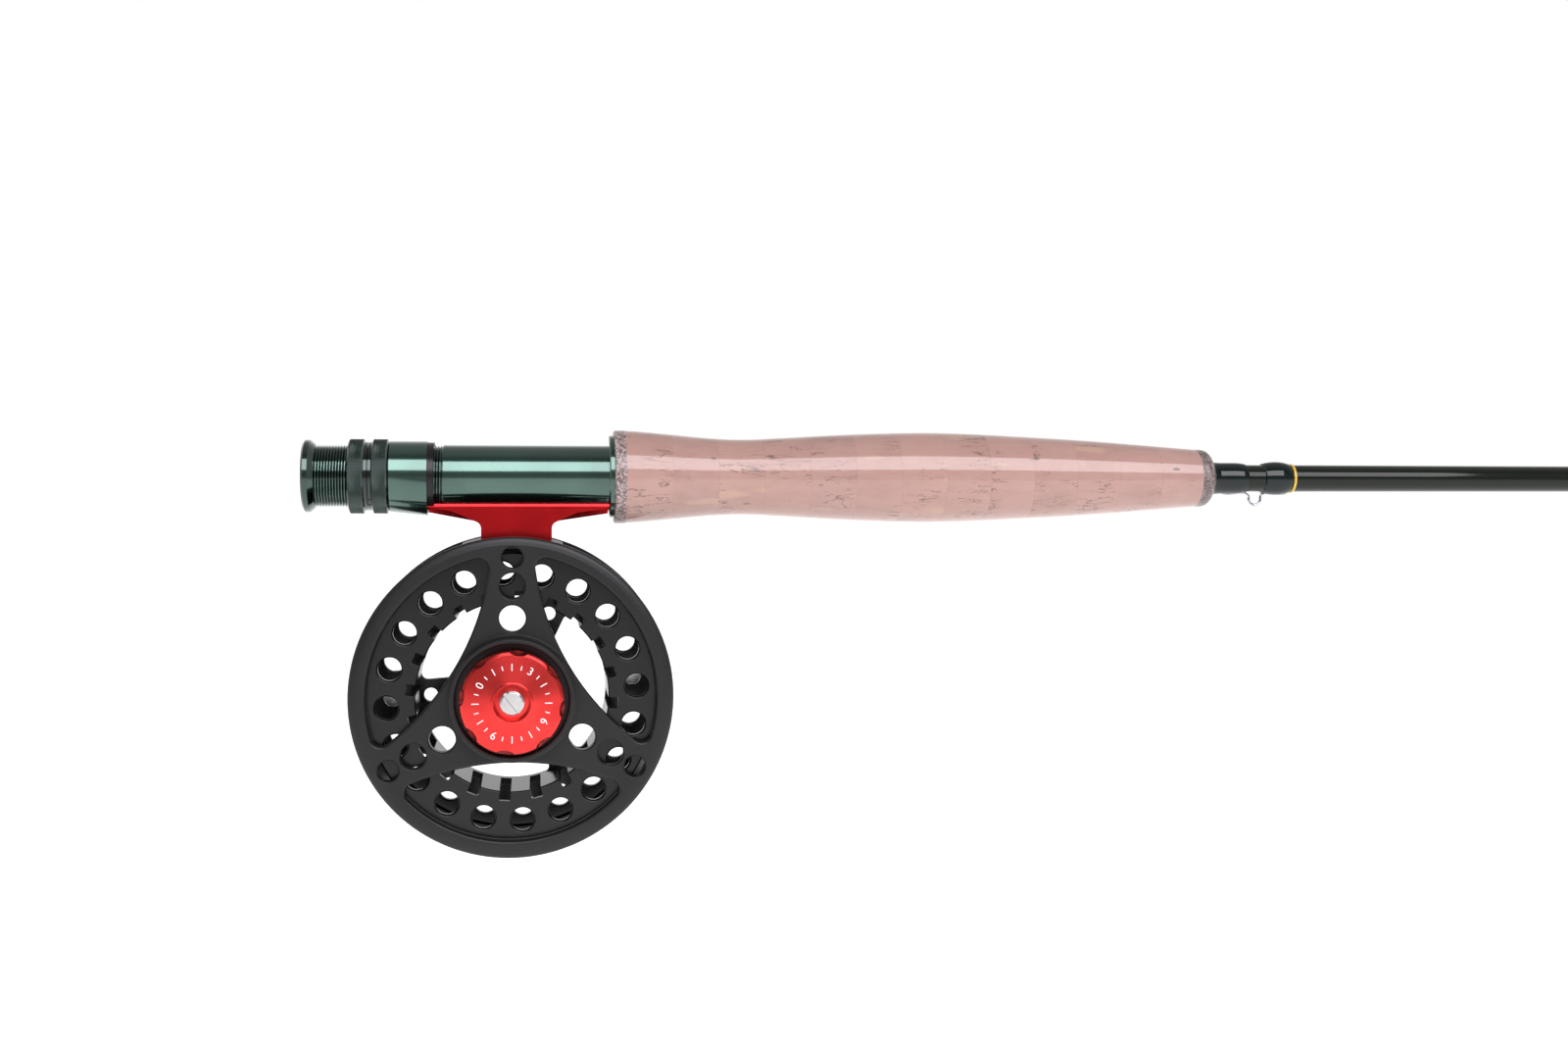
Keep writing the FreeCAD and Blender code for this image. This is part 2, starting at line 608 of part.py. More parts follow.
# ---------------------------------------------------------------- reel foot and frame
def make_foot():
    """Reel foot: a saddle that lies on the seat, with a stem down to the frame."""
    half = cell.foot_half_width
    length = cell.foot_end - cell.foot_start
    tip = cell.seat_radius + cell.foot_tip
    full = cell.seat_radius + cell.foot_thickness
    first_rise = cell.hood_start + cell.hood_length - cell.foot_start
    last_fall = cell.foot_end - cell.flange_start
    middle = length - first_rise - last_fall
    swell = joined("foot_round", [
        cone_along_x("foot_first_taper", tip, full, cell.foot_start, first_rise),
        rod_along_x("foot_middle", full, cell.foot_start + first_rise, middle),
        cone_along_x("foot_last_taper", full, tip, cell.flange_start, last_fall)])
    wing = shared("foot_wing", swell,
                  [block("wing_sides", length, half * 2, 20, cell.foot_start, -half, -20)])
    left = float(cell.stem_start)
    right = float(cell.stem_end)
    low = float(cell.reel_drop) - 38.0
    rib_start = float(cell.hood_start + cell.hood_length) + 0.3
    rib_end = float(cell.flange_start) - 0.3
    fillet = [(1.7, -11.9), (0.8, -12.3), (0.25, -12.9), (0.0, -13.7)]
    side = [(rib_start, -5.0), (rib_start, -9.6)]
    side += [(left - along, z) for along, z in fillet] + [(left, -low), (right, -low)]
    side += [(right + along, z) for along, z in reversed(fillet)] + [(rib_end, -9.9), (rib_end, -5.0)]
    wire = Part.makePolygon([Vector(x, -float(half), z) for x, z in side + side[:1]])
    plank = Part.Face(wire).extrude(Vector(0, 2 * float(half), 0))
    long_edges = [edge for edge in plank.Edges
                  if max(vertex.Z for vertex in edge.Vertexes) < -9 and edge.Length > 5
                  and min(vertex.Z for vertex in edge.Vertexes) > -12.1 and abs(edge.tangentAt(0).y) < 0.1]
    rib = computed("foot_rib", plank.makeChamfer(1.5, long_edges))
    body = joined("foot_body", [wing, rib])
    barrel = rod_along_x("foot_saddle", cell.seat_radius, cell.foot_start - 1, length + 2)
    rim = doc.addObject("Part::Cylinder", "foot_rim")
    bind(rim, "Radius", cell.pillar_outer)
    rim.Height = 60
    place(rim, cell.reel_x, 30, -cell.reel_drop, Rotation(Vector(1, 0, 0), 90))
    bevels = []
    for hand in (-1, 1):
        corners = [(5.2, -9.15), (5.2, -6.0), (4.15, -6.0)]
        outline = [Vector(float(cell.foot_start) - 1, hand * y, z) for y, z in corners + corners[:1]]
        prism = Part.Face(Part.makePolygon(outline)).extrude(Vector(float(length) + 2, 0, 0))
        bevels.append(computed("foot_bevel_" + ("near" if hand < 0 else "far"), prism))
    keep(cut("reel_foot", body, [barrel, rim] + bevels + foot_screw_tools()))


SCREW_SPREAD = 6.0


def foot_screw_shape(x):
    """A countersunk screw that points up from inside the frame's top pillar into the foot."""
    inner = -float(cell.reel_drop) + float(cell.pillar_inner)
    depth = 7.0
    head = Part.makeCone(2.3, 1.3, 1.4, Vector(x, 0, inner + 0.3), Vector(0, 0, 1))
    shank = Part.makeCylinder(1.3, depth, Vector(x, 0, inner + 0.3), Vector(0, 0, 1))
    return head.fuse(shank).removeSplitter()


def foot_screw_tools():
    """Copies of the two foot screws, for cutting their holes."""
    return [computed(f"foot_screw_hole_{number}", foot_screw_shape(float(cell.reel_x) + side * SCREW_SPREAD))
            for number, side in enumerate((-1, 1))]


def make_foot_screws():
    screws = []
    for side in (-1, 1):
        x = float(cell.reel_x) + side * SCREW_SPREAD
        inner = -float(cell.reel_drop) + float(cell.pillar_inner)
        slot = Part.makeBox(6, 0.6, 0.9, Vector(x - 3, -0.3, inner))
        screws.append(foot_screw_shape(x).cut(slot))
    keep(computed("foot_screws", Part.Compound(screws)))


SPOKE_ANGLES = (90, 210, 330)
WINDOW_ANGLES = (30, 150, 270)


def pillar(name, angle, width):
    """A post between the frame's plate and its rear ring, curved like the rim."""
    start = cell.plate_back - 0.5
    length = cell.rear_ring_front - start
    outside = rod_along_x(f"{name}_outside", cell.pillar_outer, start, length)
    inside = rod_along_x(f"{name}_inside", cell.pillar_inner, start - 1, length + 2)
    shell = cut(f"{name}_shell", outside, [inside])
    y, z = around_reel(1.0, angle)
    spin = Rotation(Vector(1, 0, 0), math.degrees(math.atan2(-y, z)))
    corner = spin.multVec(Vector(0, -width / 2, 36))
    sides = block(f"{name}_sides", length, width, 8, start, corner.y, corner.z, spin)
    return shared(name, shell, [sides])


def window_edges(shape):
    """The edges where the plate's three windows meet its front face."""
    front = float(cell.plate_front)
    bends = (float(cell.ring_inner), float(cell.window_radius), 2.6)
    found = []
    for edge in shape.Edges:
        flat = all(abs(vertex.X - front) < 0.001 for vertex in edge.Vertexes)
        if flat and isinstance(edge.Curve, Part.Circle):
            if any(abs(edge.Curve.Radius - bend) < 0.001 for bend in bends):
                found.append(edge)
    return found


def make_frame():
    """Frame: a plate with three spokes and a hub for the drag, and three posts to the rear ring."""
    rounded = []
    for degrees in (20, 40, 57, 72, 84, 90):
        turn = math.radians(degrees)
        rounded.append((cell.plate_front + round(1.25 * (1 - math.cos(turn)), 3),
                        cell.reel_radius - round(3.3 * (1 - math.sin(turn)), 3)))
    plate = turned("frame_plate", [
        (cell.recess_floor, cell.spindle_radius), (cell.recess_floor, cell.knob_recess),
        (cell.boss_front + 0.3, cell.knob_recess), (cell.boss_front, cell.knob_recess + 0.3),
        (cell.boss_front, cell.boss_radius - 0.4), (cell.boss_front + 0.4, cell.boss_radius),
        (cell.plate_front - 0.6, cell.boss_radius), (cell.plate_front, cell.boss_radius + 0.6),
        (cell.plate_front, cell.reel_radius - 3.3)] + rounded + [
        (cell.plate_back, cell.reel_radius), (cell.plate_back, cell.cup_radius),
        (cell.cup_end, cell.cup_radius), (cell.cup_end, cell.cup_bore), (cell.cup_floor, cell.cup_bore),
        (cell.cup_floor, cell.spindle_radius)])
    plate_depth = cell.plate_back - cell.plate_front + 2
    cutters = []
    for number, angle in enumerate(WINDOW_ANGLES):
        y, z = around_reel(cell.window_centre, angle)
        inner = rod_along_x(f"window_inner_{number}", cell.ring_inner, cell.plate_front - 1, plate_depth)
        outer = rod_along_x(f"window_outer_{number}", cell.window_radius, cell.plate_front - 1,
                            plate_depth, y, z)
        lens = shared(f"window_lens_{number}", inner, [outer])
        rounded = doc.addObject("Part::Fillet", f"window_{number}")
        rounded.Base = lens
        doc.recompute()
        corners = [index + 1 for index, edge in enumerate(lens.Shape.Edges)
                   if edge.Vertexes[0].Point.distanceToPoint(edge.Vertexes[-1].Point) > 1
                   and abs(edge.tangentAt(edge.FirstParameter).x) > 0.99]
        rounded.Edges = [(corner, 2.6, 2.6) for corner in corners]
        cutters.append(rounded)
    for spoke, angle in enumerate(SPOKE_ANGLES):
        for number, (distance, radius) in enumerate(((37.4, 2.8), (29.9, 3.4), (21.2, 3.5))):
            y, z = around_reel(distance, angle)
            cutters.append(rod_along_x(f"spoke_hole_{spoke}_{number}", radius, cell.plate_front - 2,
                                       plate_depth + 1, y, z))
            cutters.append(cone_along_x(f"spoke_rim_{spoke}_{number}", radius + 0.35, radius,
                                        cell.plate_front, 0.35, y, z))
    for number in range(3):
        y, z = around_reel(6.1, 30 + number * 120)
        cutters.append(rod_along_x(f"pin_hole_{number}", 0.95, cell.recess_floor - 1, 8, y, z))
    sharp = cut("frame_openings", plate, cutters)
    doc.recompute()
    skeleton = computed("frame_skeleton", sharp.Shape.makeFillet(0.7, window_edges(sharp.Shape)))
    posts = [pillar("top_post", 90, 27.0), pillar("left_post", 210, 10.0), pillar("right_post", 330, 10.0)]
    body = joined("frame_body", [skeleton] + posts)
    holes = []
    for number, side in enumerate((-1, 1)):
        shape = foot_screw_shape(float(cell.reel_x) + side * SCREW_SPREAD)
        centre = Vector(float(cell.reel_x), -float(cell.reel_front), -float(cell.reel_drop))
        shape.Placement = Placement(centre, Rotation(Vector(0, 0, 1), 90)).inverse()
        head_hole = Part.makeCylinder(2.3, 3, Vector(float(cell.reel_front), -side * SCREW_SPREAD,
                                                     float(cell.pillar_inner) - 2.7))
        holes.append(computed(f"post_screw_hole_{number}", shape.fuse(head_hole)))
    for number, angle in enumerate(SPOKE_ANGLES):
        y, z = around_reel(40.85, angle)
        holes.append(rod_along_x(f"ring_screw_hole_{number}", 0.7, cell.rear_ring_front - 6, 8, y, z))
    keep(on_reel(cut("reel_frame", body, holes)))

    ring = turned("rear_ring_blank", [
        (cell.rear_ring_front, cell.spool_radius + 0.6), (cell.rear_ring_front, cell.reel_radius),
        (cell.rear_ring_back - 0.6, cell.reel_radius), (cell.rear_ring_back, cell.reel_radius - 0.6),
        (cell.rear_ring_back, cell.spool_radius + 0.6)])
    ring_holes = []
    screws = []
    for number, angle in enumerate(SPOKE_ANGLES):
        y, z = around_reel(40.85, angle)
        shape = turned_screw(30.5, 1.25, 0.7, y, z)
        ring_holes.append(computed(f"ring_hole_{number}", shape.copy()))
        slot = Part.makeBox(0.6, 3.4, 0.4, Vector(float(cell.rear_ring_back) - 0.6, y - 1.7, z - 0.2))
        screws.append(shape.cut(slot))
    keep(on_reel(cut("rear_ring", ring, ring_holes)))
    keep(on_reel(computed("ring_screws", Part.Compound(screws))))


def turned_screw(back, head_radius, shank_radius, y, z):
    """A small countersunk screw along -X with its head flush with the rear ring's back face."""
    face = float(cell.rear_ring_back)
    head = Part.makeCone(shank_radius, head_radius, 0.9, Vector(face - 0.9, y, z), Vector(1, 0, 0))
    shank = Part.makeCylinder(shank_radius, 7, Vector(face - 7.6, y, z), Vector(1, 0, 0))
    return head.fuse(shank).removeSplitter()


# ---------------------------------------------------------------- drag and spindle
def make_spindle():
    thread_end = cell.recess_floor
    nose = cell.knob_front + 1.7
    keep(on_reel(turned("spindle", [
        (nose, 1.5), (nose, cell.spindle_thread), (thread_end, cell.spindle_thread),
        (thread_end, cell.spindle_radius), (29.2, cell.spindle_radius), (29.2, cell.spindle_thread),
        (33.0, cell.spindle_thread), (33.0, 0), (thread_end, 0), (thread_end, 1.5)])))
    keep(on_reel(turned("spindle_clip", [
        (22.1, cell.spindle_radius), (22.1, 4.2), (22.8, 4.2), (22.8, cell.spindle_radius)])))

    front = cell.knob_front + 0.3
    neck = front + 1.2
    head = turned("knob_screw_blank", [
        (front, 0), (front, 2.7), (front + 0.35, 3.2), (neck, 3.2), (neck, 1.5), (2.8, 1.5), (2.8, 0)])
    lean = Rotation(Vector(1, 0, 0), 52)
    corner = lean.multVec(Vector(0, -4, -0.5))
    slot = block("knob_screw_slot", 1.2, 8, 1.0, front - 0.5, corner.y, corner.z, lean)
    keep(on_reel(cut("knob_screw", head, [slot])))


def make_knob():
    """Drag knob: a disc with eight finger scallops round its front edge and a cavity behind."""
    front = cell.knob_front
    face = front + 0.12
    floor = front + 1.6
    back = cell.knob_back
    cavity = back - 3.1
    blank = turned("knob_blank", [
        (front + 0.3, cell.knob_well), (front, cell.knob_well + 0.2), (front, cell.knob_well + 0.5),
        (face, cell.knob_well + 0.7), (face, cell.knob_radius - 0.9),
        (face + 0.3, cell.knob_radius - 0.3), (face + 1.0, cell.knob_radius), (back, cell.knob_radius),
        (back, 8.2), (cavity, 8.2), (cavity, 4.0), (back, 4.0),
        (back, cell.spindle_thread + cell.turn_clearance), (floor, cell.spindle_thread + cell.turn_clearance),
        (floor, cell.knob_well)])
    scallops = []
    for number in range(8):
        y, z = around_reel(cell.knob_radius + 3.1, 82.5 + number * 45)
        ball = doc.addObject("Part::Sphere", f"scallop_{number}")
        ball.Radius = 4.4
        scallops.append(place(ball, front - 0.6, y, z))
    keep(on_reel(cut("drag_knob", blank, scallops)))


def make_drag():
    """Drag stack in the frame's hub: spring, spring plate, push pins, pressure plate, washer and hub."""
    wire = 0.28
    mean = 6.1
    coil = Part.makeHelix(0.62, 1.8, mean)
    start = Vector(mean, 0, 0)
    section = Part.Wire(Part.makeCircle(wire, start, Vector(0, 1, 0)))
    spring = Part.Wire(coil.Edges).makePipeShell([section], True, True)
    spring.Placement = Placement(Vector(float(cell.knob_back) - 2.7, 0, 0), Rotation(Vector(0, 1, 0), 90))
    keep(on_reel(computed("drag_spring", Part.Compound([spring]))))

    plate_back = cell.knob_back - 0.1
    plate_front = plate_back - 0.45
    keep(on_reel(turned("spring_plate", [
        (plate_front, 4.3), (plate_front, 7.9), (plate_back, 7.9), (plate_back, 4.3)])))
    pins = []
    for number in range(3):
        y, z = around_reel(6.1, 30 + number * 120)
        pins.append(rod_along_x(f"push_pin_{number}", 0.9, plate_back, 9.0 - plate_back, y, z))
    keep(on_reel(group("push_pins", pins)))
    keep(on_reel(turned("pressure_plate", [
        (9.0, cell.spindle_radius + 0.2), (9.0, cell.cup_bore - 0.2), (10.0, cell.cup_bore - 0.2),
        (10.0, cell.spindle_radius + 0.2)])))
    keep(on_reel(turned("drag_washer", [
        (10.0, 3.6), (10.0, cell.cup_bore - 0.3), (10.75, cell.cup_bore - 0.3), (10.75, 3.6)])))
    keep(on_reel(turned("drag_hub", [
        (10.8, cell.spindle_radius + cell.turn_clearance), (10.8, 9.0), (12.0, 9.0), (12.0, 5.0),
        (22.0, 5.0), (22.0, cell.spindle_radius + cell.turn_clearance)])))


# ---------------------------------------------------------------- spool
HOLES = 20
FIRST_HOLE = 4.5
HANDLE_ANGLE = 184.5
WEIGHT_ANGLE = 4.5
FAR_SPOKES = (64.5, 184.5, 304.5)


def ring_of_holes(name, face, depth, angles):
    """Drilled holes with a chamfer at their front edge, on the flange's hole circle."""
    cutters = []
    for number, angle in enumerate(angles):
        y, z = around_reel(cell.hole_circle, angle)
        cutters.append(rod_along_x(f"{name}_{number}", cell.hole_radius, face - 0.6, depth, y, z))
        cutters.append(cone_along_x(f"{name}_rim_{number}", cell.hole_radius + cell.hole_chamfer,
                                    cell.hole_radius, face, cell.hole_chamfer, y, z))
    return cutters


def make_spool():
    """Spool: two flanges on a slotted large arbor, with a spoked web to the hub at the far side."""
    front = cell.spool_front
    back = cell.spool_back
    rear_flange = back - cell.rear_flange
    lip = back + 0.9
    blank = turned("spool_blank", [
        (13.1, cell.clutch_bore), (22.5, cell.clutch_bore), (22.5, cell.bearing_bore),
        (back, cell.bearing_bore), (back, cell.spool_hub), (cell.web_back, cell.spool_hub),
        (cell.web_back, cell.arbor_inner), (back - 0.2, cell.arbor_inner),
        (back, cell.arbor_inner + 0.2), (back, cell.spool_radius - 0.9), (lip, cell.spool_radius - 0.7),
        (lip, cell.lip_radius - 0.2), (lip - 0.2, cell.lip_radius), (lip - 0.6, cell.lip_radius),
        (lip - 0.6, cell.spool_radius), (rear_flange, cell.spool_radius), (rear_flange, cell.arbor_outer),
        (front + cell.front_flange, cell.arbor_outer), (front + cell.front_flange, cell.spool_radius),
        (front + 0.4, cell.spool_radius), (front, cell.spool_radius - 0.4), (front, cell.arbor_inner + 0.3),
        (front + 0.3, cell.arbor_inner), (cell.web_front, cell.arbor_inner),
        (cell.web_front, cell.spool_hub), (13.1, cell.spool_hub)])
    angles = [FIRST_HOLE + number * 360 / HOLES for number in range(HOLES)]
    far_angles = [angle for angle in angles if angle not in (HANDLE_ANGLE, WEIGHT_ANGLE)]
    cutters = ring_of_holes("near_hole", front, 4, angles)
    cutters += ring_of_holes("far_hole", rear_flange, 4, far_angles)
    slot_length = cell.web_front - front + 1
    slot_height = cell.slot_reach - 25.3
    for number in range(HOLES):
        angle = FIRST_HOLE + (number + 0.5) * 360 / HOLES
        y, z = around_reel(1.0, angle)
        spin = Rotation(Vector(1, 0, 0), math.degrees(math.atan2(-y, z)))
        corner = spin.multVec(Vector(0, -float(cell.slot_width) / 2, 25.3))
        cutters.append(block(f"arbor_slot_{number}", slot_length, cell.slot_width, slot_height,
                             front - 1, corner.y, corner.z, spin))
    cutters += [web_window(number) for number in range(3)]
    for number, angle in enumerate(FAR_SPOKES):
        y, z = around_reel(22.6, angle)
        cutters.append(rod_along_x(f"spoke_eye_{number}", 1.9, cell.web_front - 1, 4, y, z))
    for name, angle in (("handle", HANDLE_ANGLE), ("weight", WEIGHT_ANGLE)):
        y, z = around_reel(cell.hole_circle, angle)
        cutters.append(computed(f"{name}_screw_hole", spool_screw_shape(float(y), float(z))))
    keep(on_reel(cut("spool", blank, cutters)))


def web_window(number):
    """One opening of the spool's web, between two spokes with parallel edges."""
    half_spoke = 4.3
    inner = 11.8
    outer = float(cell.arbor_inner)
    start = FAR_SPOKES[number]
    corners = []
    for radius, spoke, side in ((inner, start, 1), (outer, start, 1), (outer, start + 120, -1),
                                (inner, start + 120, -1)):
        lean = math.degrees(math.asin(half_spoke / radius)) * side
        corners.append((radius, spoke + lean))
    places = [around_reel(radius, angle) for radius, angle in corners]
    middle = start + 60
    outer_middle = around_reel(outer, middle)
    inner_middle = around_reel(inner, middle)
    x = float(cell.web_front) - 1
    points = [Vector(x, float(y), float(z)) for y, z in places]
    edges = [Part.makeLine(points[0], points[1]),
             Part.Arc(points[1], Vector(x, *outer_middle), points[2]).toShape(),
             Part.makeLine(points[2], points[3]),
             Part.Arc(points[3], Vector(x, *inner_middle), points[0]).toShape()]
    prism = Part.Face(Part.Wire(edges)).extrude(Vector(4, 0, 0))
    prism = prism.makeFillet(1.8, [edge for edge in prism.Edges
                                   if abs(edge.tangentAt(edge.FirstParameter).x) > 0.99])
    return computed(f"web_window_{number}", prism)


def spool_screw_shape(y, z):
    """A countersunk screw in the spool's rear flange with its head on the line side."""
    face = float(cell.spool_back - cell.rear_flange)
    head = Part.makeCone(2.4, 1.1, 1.2, Vector(face, y, z), Vector(1, 0, 0))
    shank = Part.makeCylinder(1.1, 6.2, Vector(face, y, z), Vector(1, 0, 0))
    return head.fuse(shank).removeSplitter()


def make_spool_fittings():
    """What rides on the spool: screws, handle post, handle, counterweight, bearings and cap."""
    back = float(cell.spool_back)
    screws = []
    for angle in (HANDLE_ANGLE, WEIGHT_ANGLE):
        y, z = around_reel(float(cell.hole_circle), angle)
        screw = spool_screw_shape(y, z)
        for width, height in ((2.6, 0.5), (0.5, 2.6)):
            corner = Vector(back - 2.3, y - width / 2, z - height / 2)
            screw = screw.cut(Part.makeBox(0.8, width, height, corner))
        screws.append(screw)
    keep(on_reel(computed("spool_screws", Part.Compound(screws))))

    y, z = around_reel(cell.hole_circle, HANDLE_ANGLE)
    end = cell.spool_back + 1.1 + cell.handle_length
    post = turned("handle_post", [
        (cell.spool_back, 1.1), (cell.spool_back, 3.6), (cell.spool_back + 0.8, 3.6),
        (cell.spool_back + 0.8, cell.post_radius), (end - 1.9, cell.post_radius), (end - 1.9, 3.0),
        (end - 0.6, 3.0), (end - 0.6, 0), (cell.spool_back + 4.0, 0), (cell.spool_back + 4.0, 1.1)])
    keep(off_centre(post, y, z))
    start = cell.spool_back + 1.1
    bore = cell.post_radius + cell.turn_clearance
    grip = turned("winding_handle", [
        (start, bore), (start, 4.5), (start + 0.5, 5.0), (start + 1.5, 5.05), (start + 4.5, 4.35),
        (start + 8.0, 4.5), (start + 11.5, 5.2), (end - 1.2, cell.handle_radius),
        (end - 0.4, cell.handle_radius - 0.3), (end, cell.handle_radius - 1.0), (end, 3.2),
        (end - 2.0, 3.2), (end - 2.0, bore)])
    keep(off_centre(grip, y, z))

    y, z = around_reel(cell.hole_circle, WEIGHT_ANGLE)
    weight = turned("counterweight", [
        (cell.spool_back, 1.1), (cell.spool_back, 4.2), (cell.spool_back + 3.4, 4.2),
        (cell.spool_back + 4.5, 3.3), (cell.spool_back + 5.0, 0), (cell.spool_back + 4.1, 0),
        (cell.spool_back + 4.1, 1.1)])
    keep(off_centre(weight, y, z))

    keep(on_reel(turned("clutch_bearing", [
        (14.5, 5.05), (14.5, cell.clutch_bore), (21.5, cell.clutch_bore), (21.5, 5.05)])))
    race_start = 24.0
    race_end = 29.0
    keep(on_reel(turned("bearing_inner_race", [
        (race_start, cell.spindle_radius + 0.03), (race_start, 4.0), (race_end, 4.0),
        (race_end, cell.spindle_radius + 0.03)])))
    keep(on_reel(turned("bearing_outer_race", [
        (race_start, 5.3), (race_start, cell.bearing_bore), (race_end, cell.bearing_bore),
        (race_end, 5.3)])))
    balls = []
    for number in range(9):
        y, z = around_reel(4.65, number * 40)
        ball = doc.addObject("Part::Sphere", f"ball_{number}")
        ball.Radius = 0.6
        balls.append(place(ball, (race_start + race_end) / 2, y, z))
    keep(on_reel(group("bearing_balls", balls)))

    neck = cell.bearing_bore - 0.08
    cap = turned("spool_cap_blank", [
        (29.8, cell.spindle_thread + cell.turn_clearance), (29.8, neck), (32.7, neck), (32.7, 8.0),
        (33.0, 8.3), (35.2, 8.3), (35.8, 7.7), (36.0, 6.9), (36.0, 0), (33.4, 0),
        (33.4, cell.spindle_thread + cell.turn_clearance)])
    coin_slot = block("coin_slot", 1.4, 18, 1.6, 34.9, -9, -0.8)
    keep(on_reel(cut("spool_cap", cap, [coin_slot])))


def off_centre(obj, y, z):
    """Stands a piece on the reel with its axis away from the spindle, by local offsets y and z."""
    return place(obj, cell.reel_x - y, -cell.reel_front, -cell.reel_drop + z, Rotation(Vector(0, 0, 1), 90))


# ---------------------------------------------------------------- build, check and write
make_seat()
lock_ring("rear_lock_ring", cell.rear_ring_start, "front")
lock_ring("front_lock_ring", cell.front_ring_start, "rear")
make_hood()
make_fixed_hood()
make_grip()
make_sections()
make_keeper()
make_stripping_guide()
make_snake_guides()
make_ferrule_windings()
make_tip_top()
make_foot()
make_foot_screws()
make_frame()
make_spindle()
make_knob()
make_drag()
make_spool()
make_spool_fittings()
doc.recompute()

for obj in doc.Objects:
    if any(word in obj.State for word in ("Invalid", "Error")):
        raise RuntimeError(f"{obj.Label} did not recompute: {obj.State}")
for label, node in nodes.items():
    if node.Shape.isNull() or not node.Shape.isValid() or not node.Shape.Solids:
        raise RuntimeError(f"{label} has no valid solid")

os.makedirs("parts", exist_ok=True)
for label, node in nodes.items():
    node.Shape.exportStep(f"parts/{label}.step")
    box = node.Shape.BoundBox
    print(f"{label}: {len(node.Shape.Solids)} solids, {node.Shape.Volume:.1f} mm3,"
          f" x {box.XMin:.1f}..{box.XMax:.1f} y {box.YMin:.1f}..{box.YMax:.1f}"
          f" z {box.ZMin:.1f}..{box.ZMax:.1f}")
print(f"{len(nodes)} nodes written")
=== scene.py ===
"""Looks of the fly rod and reel: materials, fine surface detail, light and camera.

The CAD solids give the shapes. Three of them are replaced here by meshes with finer relief: the
seat barrel with its thread, and the two lock rings with their knurling. The drag knob gets a dial
of bars and numerals. Lengths are in metres.
"""
import json
import math

import bpy
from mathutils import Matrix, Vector


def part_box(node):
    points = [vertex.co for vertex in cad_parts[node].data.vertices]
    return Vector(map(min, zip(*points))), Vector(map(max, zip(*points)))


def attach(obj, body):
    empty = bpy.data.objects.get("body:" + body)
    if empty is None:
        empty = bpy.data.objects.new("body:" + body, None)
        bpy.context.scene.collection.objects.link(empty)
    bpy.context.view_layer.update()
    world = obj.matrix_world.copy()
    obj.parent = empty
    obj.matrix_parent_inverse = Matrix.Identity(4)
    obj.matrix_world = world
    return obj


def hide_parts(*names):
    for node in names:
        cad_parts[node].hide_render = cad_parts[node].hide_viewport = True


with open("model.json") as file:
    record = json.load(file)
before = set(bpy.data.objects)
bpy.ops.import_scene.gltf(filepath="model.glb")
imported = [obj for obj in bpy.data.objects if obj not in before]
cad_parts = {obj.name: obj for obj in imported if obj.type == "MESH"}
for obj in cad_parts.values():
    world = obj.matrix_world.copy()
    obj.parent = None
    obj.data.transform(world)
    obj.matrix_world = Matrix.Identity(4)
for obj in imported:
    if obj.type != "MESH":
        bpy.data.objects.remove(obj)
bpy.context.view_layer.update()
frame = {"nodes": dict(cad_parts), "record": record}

MM = 0.001
nodes = frame["nodes"]
scene = bpy.context.scene

# ------------------------------------------------------------------ sizes that follow the solids
reel_low, reel_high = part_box("rear_ring")
REEL_X = (reel_low.x + reel_high.x) / 2
REEL_Z = (reel_low.z + reel_high.z) / 2

BARREL_BORE = 7.3 * MM
THREAD_CREST = 8.35 * MM
THREAD_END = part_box("hood_bush")[1].x + 2.5 * MM  # the thread runs on a little in front of the bush
THREAD_PITCH = 0.75 * MM
THREAD_DEPTH = 0.5 * MM
THREAD_FLAT = 0.45  # the greater it is, the wider the thread's flat crest
THREAD_FADE = 0.8 * MM
THREAD_STATIONS = 10  # along one turn
BARREL_SEGMENTS = 128

RING_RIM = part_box("front_lock_ring")[1].z
RING_BORE = 8.4 * MM
RING_CHAMFER = 0.35 * MM
RING_BORDER = 0.42 * MM  # the plain band beside the knurling, chamfer included
COLLAR_WIDTH = 0.9 * MM
COLLAR_RADIUS = 9.3 * MM
KNURLS = 84
KNURL_DEPTH = 0.25 * MM
KNURL_STATIONS = 8  # across one diamond, along the rod and round it
STEP = 0.001 * MM  # two stations this close make a sharp step between radii

CORK_RINGS = 13
CORK_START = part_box("cork_rings")[0].x
CORK_PITCH = (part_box("cork_rings")[1].x - CORK_START) / CORK_RINGS

KNOB_LIP = 0.12 * MM  # how far the lip round the knob's well stands out from its face
KNOB_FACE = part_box("drag_knob")[0].y + KNOB_LIP
KNOB_CROWN = 0.135  # slope by which the cuts on the knob's face lean outwards

DIAL_RADIUS = 9.45 * MM
DIAL_MARKS = 24
DIAL_START = 150  # degrees; the marks go clockwise from there
DIAL_NUMERALS = {150: "0", 60: "3", -30: "6", -120: "9"}
LONG_MARK = 1.9 * MM
SHORT_MARK = 1.15 * MM
HALF_MARK_WIDTH = 0.13 * MM
NUMERAL_SIZE = 2.9 * MM
PAINT_HALF_DEPTH = 0.04 * MM
PAINT_LIFT = 0.02 * MM

ACROSS_ROD = (0.0, 1.0, 1.0)  # times a place, leaves what lies across the rod's axis
ACROSS_REEL = (1.0, 0.0, 1.0)

# ------------------------------------------------------------------ colours
WHITE = (1.0, 1.0, 1.0)
GREEN = (0.047, 0.10, 0.08)
# Painted shade for the bottoms of the thread and knurl grooves.
GROOVE_PAINTED_SHADE = (0.002, 0.004, 0.004)
RED = (0.50, 0.008, 0.011)
KNOB_REDS = ((0.60, 0.036, 0.034), (0.74, 0.055, 0.05))
PAINT_WHITES = ((0.72, 0.70, 0.70), (0.86, 0.84, 0.84))
FLOOR_WHITES = ((0.88, 0.88, 0.88), (0.92, 0.92, 0.92))
KEY_LIGHT = (0.985, 0.95, 1.0)

